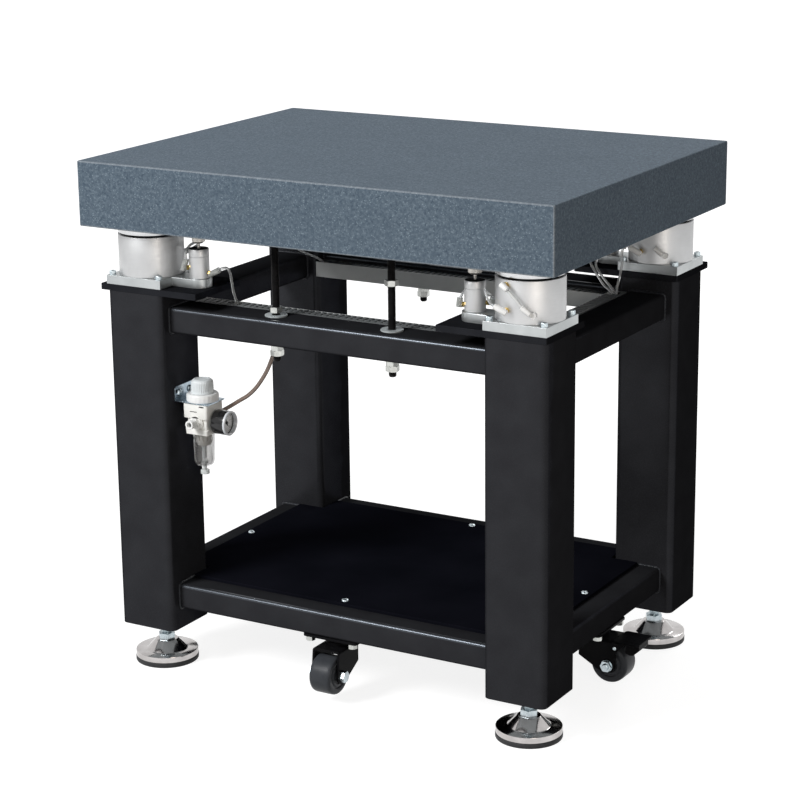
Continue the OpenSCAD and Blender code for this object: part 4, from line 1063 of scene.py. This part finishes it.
def makeKnob():
    r, h = knob["radius"], knob["height"]
    place = [moved(regulator["x"], regulator["y"], regulator["ringTop"] + 0.3)]
    grip = ribbed(knob["ribs"], r, r * 0.972, [
        (0.5, 1.0), (16.3, 0.975), (0.6, 0.985), (1.4, 0.965), (1.5, 0.93), (1.0, 0.90),
        (0.5, 0.82)])
    # The ribs run out towards the crown
    for corner in grip.verts:
        flat = math.hypot(corner.co.x, corner.co.y)
        limit = {19: 15.6, 20: 14.8, 21: 13.6}.get(int(corner.co.z), flat)
        if flat > limit:
            corner.co.xy *= limit / flat
    bore = plug(5.2, -1, h - 3, 32)
    dish = turned([(0, h - 0.7), (9.6, h - 0.7), (10.4, h + 1), (0, h + 1)], 48)
    grip = combined(combined(grip, bore), dish)
    skirt = turned([(15.5, 0), (17.6, 0), (17.7, 0.5), (17.7, 2.2), (17.2, 2.7), (15.5, 2.7)],
                   72, True)
    finished([(grip, place), (skirt, place)], "pressureKnob", "pressure_knob", "knob",
             ["regulator_knob"], sharp=28)


def makeBowl():
    x, y, top, low = regulator["x"], regulator["y"], regulator["bowlTop"], regulator["bowlBottom"]
    cup = turned([(17, top), (17, top - 8), (15.5, low + 9), (14.6, low + 5.2), (12.4, low + 2.2),
                  (8, low), (3.1, low), (3.1, low + 2), (8, low + 2), (11.4, low + 4),
                  (12.6, low + 6.4), (13.5, low + 10), (15, top - 8), (15, top)], 64, True)
    finished([(cup, [moved(x, y, 0)])], "filterCup", "frame", "smoke", ["filter_bowl"],
             sharp=50)
    element = turned([(5, 0), (10, 0), (10.5, 0.5), (10.5, 27.5), (10, 28), (5, 28)], 48, True)
    holder = turned([(10.7, 0), (12.6, 0), (13, 0.5), (13, 12.6), (13, 15), (10.7, 15)], 48, True)
    notch = block(6, 2.2, 9)
    notches = gathered((notch, [moved(0, 0, 3.5, 30 * k) @ moved(12.6, 0, 0) for k in range(12)]))
    holder = combined(holder, notches)
    stem = turned([(0, 0), (2.6, 0), (3.4, 4), (3.4, 22), (0, 22)], 24)
    finished([(element, [moved(x, y, regulator["element"])]),
              (holder, [moved(x, y, regulator["holder"])])],
             "filterCore", "frame", "filter", ["filter_element"], sharp=45)
    finished([(stem, [moved(x, y, regulator["stem"])])], "filterStem", "frame", "collet",
             sharp=45)
    handle = plug(2.9, -8, 6.6, 24)
    grip = ribbed(18, 7, 6.6, [(0.6, 1.0), (4.4, 0.99), (0.9, 0.96), (0.6, 0.90)])
    inner = turned([(0, 4), (5.2, 4), (5.5, 4.4), (5.5, 7.4), (5.0, 8), (0, 8)], 32)
    at = [moved(x, y, low)]
    finished([(handle, at), (grip, [moved(x, y, low - 13)]), (inner, at)], "drainCock", "drain",
             "drain", ["bowl_drain_cock"], sharp=30)


makeBracket()
makeRegulator()
makeRingNut()
makeKnob()
makeBowl()

# Pressure gauge, facing +X, with a generic scale whose zero is at the lower left
gauge = {"back": -214, "radius": 19, "depth": 26, "face": 17, "window": 15.5, "needleTurn": 20}
dialScale = {"start": 225, "sweep": 270, "ticks": 51, "major": 10, "outer": 15.2, "ink": 0.08,
             "inner": (12.6, 13.5, 14.2), "wide": 0.5, "narrow": 0.28,
             "numbers": ("0", "2", "4", "6", "8", "10"), "numberAt": 10.4, "numberSize": 3.1}


def gaugePlace(along):
    return moved(gauge["back"] + along, regulator["y"], regulator["port"]) @ runAlongX


def makeGauge():
    r, depth, face = gauge["radius"], gauge["depth"], gauge["face"]
    case = turned([(0, 0), (r - 1.6, 0), (r - 0.6, 0.5), (r, 1.6), (r, depth - 4.2),
                   (r - 0.3, depth - 3.9), (r - 1.5, depth - 3.9), (r - 1.5, face - 1),
                   (1.6, face - 1), (1.6, 8), (0, 8)], 80)
    stem = plug(4, -9, 0.5, 32)
    nut = hexNut(11, 3.2, 0, 0.7)
    finished([(case, [gaugePlace(0)]), (stem, [gaugePlace(0)]), (nut, [gaugePlace(-3)])],
             "gaugeCase", "frame", "gauge", ["gauge_case"], sharp=40)
    dial = turned([(1.7, face - 0.95), (r - 1.6, face - 0.95), (r - 1.6, face - 0.1),
                   (r - 1.8, face), (1.7, face)], 80, True)
    finished([(dial, [gaugePlace(0)])], "gaugeFace", "frame", "dial", ["gauge_dial"])


def makeScale():
    s, face = dialScale, gauge["face"]
    marks = bmesh.new()
    for k in range(s["ticks"]):
        rank = 0 if k % s["major"] == 0 else 1 if k % (s["major"] // 2) == 0 else 2
        inner = s["inner"][rank]
        tick = block(s["outer"] - inner, s["narrow"] if rank else s["wide"], s["ink"])
        place = spun(s["start"] - s["sweep"] * k / (s["ticks"] - 1)) \
            @ moved((s["outer"] + inner) / 2, 0, face)
        addCopies(marks, tick, [gaugePlace(0) @ place])
    ring = turned([(15.3, face), (15.55, face), (15.55, face + s["ink"]),
                   (15.3, face + s["ink"])], 80, True)
    addCopies(marks, ring, [gaugePlace(0)])
    for k, word in enumerate(s["numbers"]):
        turn = math.radians(s["start"] - s["sweep"] * k / (len(s["numbers"]) - 1))
        data = bpy.data.curves.new("number", "FONT")
        data.body, data.size, data.extrude = word, s["numberSize"], s["ink"] / 2
        data.align_x, data.align_y = "CENTER", "CENTER"
        at = moved(s["numberAt"] * math.cos(turn), s["numberAt"] * math.sin(turn), 0)
        addCopies(marks, fromCurve(data), [gaugePlace(face + s["ink"] / 2) @ at])
    finished(marks, "gaugeScale", "frame", "ink")


def makeWindow():
    r, depth, inner = gauge["radius"], gauge["depth"], gauge["window"]
    lens = plug(inner, depth - 2.6, depth - 1.6, 80)
    finished([(lens, [gaugePlace(0)])], "gaugeWindow", "frame", "lens", ["gauge_lens"],
             sharp=40)
    # The rim has a thin wall inside that stops short of the dial
    rim = turned([(inner, depth - 3.9), (r - 2.2, depth - 3.9), (r - 2.2, 19.4), (r - 1.7, 19.4),
                  (r - 1.7, depth - 3.8), (r - 0.5, depth - 3.8), (r, depth - 3.3),
                  (r, depth - 0.9), (r - 0.9, depth), (r - 2.6, depth), (inner, depth - 0.9)],
                 80, True)
    finished([(rim, [gaugePlace(0)])], "gaugeRim", "frame", "rim", sharp=40)


def makeNeedle():
    shaft = plug(1.45, 9, 18.6, 24)
    hub = turned([(0, 18), (2.6, 18), (2.6, 18.8), (2.2, 19.2), (0, 19.3)], 32)
    blade = raised(flatFace([(-1.1, -5), (1.1, -5), (0.55, 0), (0.14, 12.3), (-0.14, 12.3),
                             (-0.55, 0)]), 0.5)
    finished([(shaft, [gaugePlace(0)]), (hub, [gaugePlace(0)]),
              (blade, [gaugePlace(18.2) @ spun(gauge["needleTurn"])])],
             "gaugePointer", "gauge_pointer", "ink", ["gauge_needle"])


makeGauge()
makeScale()
makeWindow()
makeNeedle()
print("air preparation made")

# Push-in fittings: brass nipple, plastic elbow, collet ring at the mouth
portLow = ((-11.8, -45.5, 651), (-13.5, -58, 651))
portHigh = ((-11.8, -45.5, 687), (-13.5, -58, 687))
valveElbows = [((-223, -220, 639.5), (-215, -219, 639.5), (-203, -218, 646)),
               ((-247.5, -230, 647.5), (-256, -235, 648), (-254, -231, 660)),
               ((225, -228.5, 641), (217, -232, 641), (217, -230, 650)),
               ((249, -215.5, 643.5), (258, -211, 643.5), (260, -211, 650)),
               ((225, 215.5, 641), (217, 213, 641), (214.5, 214, 651.5)),
               ((249, 228.5, 643.5), (258, 232, 643.5), (261, 232, 652.5))]
tees = [(-199, -180, 574), (-126, -180, 574), (190, -180, 574), (282, 104, 574), (285, 148, 573)]
fitting = {"nipple": 2.9, "hex": 7, "radius": 4.5, "mouth": 1.6}
shapes = {key: bmesh.new() for key in ("brass", "fitting", "smokyFitting", "collet")}


def barrel(length, radius):
    mouth = fitting["mouth"]
    return turned([(0, 0), (radius - 1.0, 0), (radius - 0.3, 0.3), (radius, 1.0),
                   (radius, length - mouth - 0.9), (radius - 0.45, length - mouth - 0.5),
                   (radius - 0.45, length - mouth), (radius, length - mouth + 0.2),
                   (radius, length - 0.3), (radius - 0.3, length), (0, length)], 28)


def addAimed(key, part, start, end):
    addCopies(shapes[key], part, [aimed(start, end)])


def addElbow(key, root, knee, tip, place=Matrix.Identity(4)):
    root, knee, tip = (place @ Vector(point) for point in (root, knee, tip))
    run = between(root, knee)
    addAimed("brass", plug(fitting["nipple"], 0, run, 24), root, knee)
    collar = hexNut(fitting["hex"], min(4.2, run * 0.45), 0, 0.5)
    addAimed("brass", collar, root.lerp(knee, 0.22), knee)
    # The elbow's shoulder sits on the nipple, its arm points to the line
    arm = (tip - knee).normalized()
    start = knee - 0.45 * (tip - knee)
    addBarrel(key, start, tip, fitting["radius"])
    shoulder = turned([(0, 0), (3.2, 0), (3.9, 0.7), (3.9, 4.2), (3.0, 5), (0, 5)], 28)
    addAimed(key, shoulder, knee.lerp(root, min(0.5, 4.4 / run)), knee)
    collet = turned([(2.1, 0), (3.5, 0), (3.7, 0.3), (3.7, 0.9), (3.4, 1.2), (2.1, 1.2)], 28, True)
    addAimed("collet", collet, tip - 0.2 * arm, tip + arm)


def addBarrel(key, start, end, radius, place=Matrix.Identity(4)):
    start, end = place @ Vector(start), place @ Vector(end)
    addAimed(key, barrel(between(start, end), radius), start, end)


def addMountPorts(name, turn):
    place = moved(cornerPlaces[name].x, cornerPlaces[name].y, 0, turn)
    addElbow("fitting", *portLow, (-26, -59, 657), place)
    addElbow("fitting", *portHigh, (-6, -59, 682), place)
    addBarrel("fitting", (28, -56, 650), (15, -57.5, 659.5), 4, place)
    addBarrel("fitting", (25.6, -38.3, 646), (31, -54, 648), 4.4, place)


def makeFittings():
    for name, turn in (("front_right", 0), ("rear_right", 0), ("front_left", 180)):
        addMountPorts(name, turn)
    place = moved(cornerPlaces["rear_left"].x, cornerPlaces["rear_left"].y, 0)
    addElbow("fitting", (11.8, -45.5, 651), (13.5, -58, 651), (6, -59, 656), place)
    for elbow in valveElbows:
        addElbow("smokyFitting", *elbow)
    for x, y, z in tees:
        addCopies(shapes["fitting"], block(14, 14, 12, 2, 0.8), [moved(x, y, z - 6)])
    x, port = regulator["x"], regulator["port"]
    inlet = turned([(4.1, 5.2), (4.1, 0.4), (4.6, 0), (6.5, 0), (7, 0.5), (7, 3), (6.6, 3.4),
                    (7, 3.8), (7, 17), (0, 17), (0, 12), (4.1, 12)], 36)
    outlet = turned([(0, 0), (7, 0), (7, 15.4), (6.4, 16), (0, 16)], 36)
    for part, start, end in ((inlet, -261, -244), (hexNut(14, 5, 0, 0.9), -248.5, -240),
                             (outlet, -200, -184)):
        addAimed("fitting", part, (x, start, port), (x, end, port))
    addBarrel("fitting", (x, -189.5, port + 0.5), (-227, -189.5, 414.5), 5.8)
    names = {"brass": ("brassNipples", "brass_spindle"),
             "fitting": ("whiteElbows", "white_fitting"),
             "smokyFitting": ("smokyElbows", "white_fitting"),
             "collet": ("colletRings", "bright_zinc")}
    for key, shape in shapes.items():
        name, slot = names[key]
        nodes = ["push_in_fittings"] if key == "fitting" else []
        finished(shape, name, "frame", key, nodes, sharp=38)


makeFittings()

# Air lines, each with its finish, its radius and the route of the solid
airLines = {
    "supplyLine": ("supplyTube", 3.2, [(-229, -189, 413.5), (-215, -188, 422), (-198, -187, 433),
        (-176, -185, 448), (-154, -183, 474), (-138, -181, 505), (-129, -180, 535),
        (-126, -180, 558), (-126, -180, 570)]),
    "mainLine": ("clearTube", 3, [(-199, -180, 574), (-60, -180, 574), (100, -180, 574),
        (250, -180, 574), (264, -176, 574), (275, -163, 574), (281, -148, 574), (282, -120, 574),
        (282, 0, 574), (282, 104, 574)]),
    "frontLeftFeed": ("clearTube", 2, [(-203, -218, 646), (-198, -216, 648.5), (-194, -211, 648),
        (-193, -205, 640), (-195, -198, 626), (-198, -190, 608), (-199, -182, 592),
        (-199, -180, 576)]),
    "frontLeftLink": ("milky", 2, [(-254, -231, 659), (-256, -230, 668), (-258, -219, 676),
        (-260, -201, 679), (-267, -180, 675), (-278, -167, 668), (-290, -163, 661),
        (-298, -163, 657.5)]),
    "frontRightLink": ("clearTube", 1.6, [(299, -281, 656.5), (292, -281, 661), (286, -279, 670),
        (280, -273, 676), (275, -264, 675), (273, -254, 669), (271, -242, 663), (268, -229, 658),
        (262, -218, 655), (260, -211, 649)]),
    "frontRightBridge": ("milky", 2, [(318.5, -281, 682), (326, -281, 675), (334, -280.5, 667.5),
        (341, -279.5, 659)]),
    "frontRightFeed": ("clearTube", 2, [(217, -230, 649), (219, -225, 656), (217, -208, 657),
        (208, -184, 652), (197, -161, 640), (191, -150, 620), (189, -152, 602), (190, -162, 593),
        (190, -171, 590), (190, -178, 584), (190, -180, 576)]),
    "rearRightFeed": ("clearTube", 2, [(214.5, 214, 651), (213, 208, 657), (214, 192, 654),
        (223, 171, 641), (235, 159, 627), (250, 156, 607), (262, 153, 595), (270, 149.5, 591.5),
        (275, 147.5, 588), (278, 146, 582), (280, 138, 577), (281, 122, 575), (282, 104, 574)]),
    "rearRightShare": ("clearTube", 2, [(261, 232, 652), (262, 222, 657), (256, 198, 652),
        (242, 174, 637), (241, 165, 625), (255, 162, 606), (266, 160, 596), (272, 158, 591),
        (277, 155.5, 586), (281, 152, 580), (284, 149, 576)]),
    "rearRightLink": ("clearTube", 2, [(299, 163, 657.5), (292, 162, 660), (288, 161, 653),
        (288, 160, 634), (285, 159, 612), (282, 157, 597), (283, 152, 586), (285, 147, 576)]),
    "rearLeftFeed": ("clearTube", 2, [(284, 150, 572), (284, 159, 569), (279, 167, 566),
        (266, 176, 564), (250, 180, 563), (80, 180, 563), (-90, 180, 563), (-242, 180, 563),
        (-256, 180, 565), (-262, 179, 570), (-265, 174, 577), (-268, 169, 582), (-278, 164, 588),
        (-297, 161, 594), (-312, 160, 603), (-323, 159, 620), (-328, 159, 638), (-326, 160, 652),
        (-319, 163, 656)]),
}
pushedIn = 3


def makeAirLines():
    for name, (finish, radius, route) in airLines.items():
        points = [Vector(point) for point in route]
        first = points[0] + pushedIn * (points[0] - points[1]).normalized()
        last = points[-1] + pushedIn * (points[-1] - points[-2]).normalized()
        line = tube([first] + points + [last], radius)
        finished(line, name, "frame", finish, ["air_lines"] if name == "supplyLine" else [],
                 sharp=60)


makeAirLines()
print("fittings and air lines made")

# Solids that stay as they are take a better finish
# The duct walls take painted shade and the duct covers painted light, both from one grey plastic
keptFinishes = {"leg_foot_plates": "washer", "cable_ducts": "ductWall", "duct_covers": "duct",
                "isolator_diaphragms": "blackRubber", "isolator_pistons": "milled",
                "regulator_spindle": "brass"}


def dressKeptNodes():
    for name, key in keptFinishes.items():
        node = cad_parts[name]
        for place in node.material_slots:
            place.material = finishes[key]
        if not node.material_slots:
            node.data.materials.append(finishes[key])


dressKeptNodes()

# Studio: pale floor, white backdrop from the world, soft lamps
studio = {"floor": 12.0, "ambient": 0.16, "floorShade": 0.36,
          "glow": (0.86, 1.0), "reach": (0.7, 1.8), "lampAim": (0, 0, 0.45)}
# Place, size, power and tint of each lamp
lamps = {"keyLamp": ((-1.9, -3.6, 3.1), 1.7, 192, (1, 1, 1)),
         "fillLamp": ((1.7, -1.6, 0.95), 0.8, 8, (1, 0.90, 0.80)),
         "rimLamp": ((0.4, 3.4, 2.8), 2.0, 45, (1, 1, 1))}


# The rays that show the backdrop: straight, mirrored or through glass
def backdropRays(owner):
    path = addNode(owner, "LightPath")
    total = path.outputs["Is Camera Ray"]
    for ray in ("Is Glossy Ray", "Is Transmission Ray"):
        either = addNode(owner, "Math", operation="MAXIMUM")
        connect(owner, total, either.inputs[0])
        connect(owner, path.outputs[ray], either.inputs[1])
        total = either.outputs[0]
    return total


def makeFloor():
    shape = bmesh.new()
    bmesh.ops.create_circle(shape, cap_ends=True, segments=64, radius=studio["floor"])
    mesh = bpy.data.meshes.new("studioFloor")
    shape.to_mesh(mesh)
    shape.free()
    floor = bpy.data.objects.new("studioFloor", mesh)
    scene.collection.objects.link(floor)
    material, shader = newFinish("paleFloor", (studio["floorShade"],) * 3, 0.9)
    glow = addNode(material, "Emission")
    amount = addNode(material, "Math", operation="MULTIPLY")
    away = addNode(material, "VectorMath", operation="LENGTH")
    connect(material, addNode(material, "TexCoord").outputs["Object"], away.inputs[0])
    connect(material, spread(material, away.outputs["Value"], *studio["glow"], *studio["reach"]),
            amount.inputs[1])
    connect(material, backdropRays(material), amount.inputs[0])
    connect(material, amount.outputs[0], glow.inputs["Strength"])
    added = addNode(material, "AddShader")
    connect(material, shader.outputs[0], added.inputs[0])
    connect(material, glow.outputs[0], added.inputs[1])
    output = material.node_tree.nodes["Material Output"]
    connect(material, added.outputs[0], output.inputs["Surface"])
    mesh.materials.append(material)


def makeWorld():
    world = bpy.data.worlds.new("studioWorld")
    world.use_nodes = True
    scene.world = world
    nodes = world.node_tree.nodes
    dim, white = nodes["Background"], addNode(world, "Background")
    for light, strength in ((dim, studio["ambient"]), (white, 1.0)):
        light.inputs["Color"].default_value = (1, 1, 1, 1)
        light.inputs["Strength"].default_value = strength
    blend = addNode(world, "MixShader")
    for place, source in enumerate((backdropRays(world), dim.outputs[0], white.outputs[0])):
        connect(world, source, blend.inputs[place])
    connect(world, blend.outputs[0], nodes["World Output"].inputs["Surface"])


def makeLamps():
    aim = Vector(studio["lampAim"])
    for name, (place, size, power, tint) in lamps.items():
        data = bpy.data.lights.new(name, "AREA")
        data.shape, data.size, data.energy, data.color = "DISK", size, power, tint
        lamp = bpy.data.objects.new(name, data)
        scene.collection.objects.link(lamp)
        direction = aim - Vector(place)
        lamp.matrix_world = Matrix.Translation(place) \
            @ direction.to_track_quat("-Z", "Y").to_matrix().to_4x4()


makeFloor()
makeWorld()
makeLamps()
scene.view_settings.view_transform = "Standard"
print("studio made")
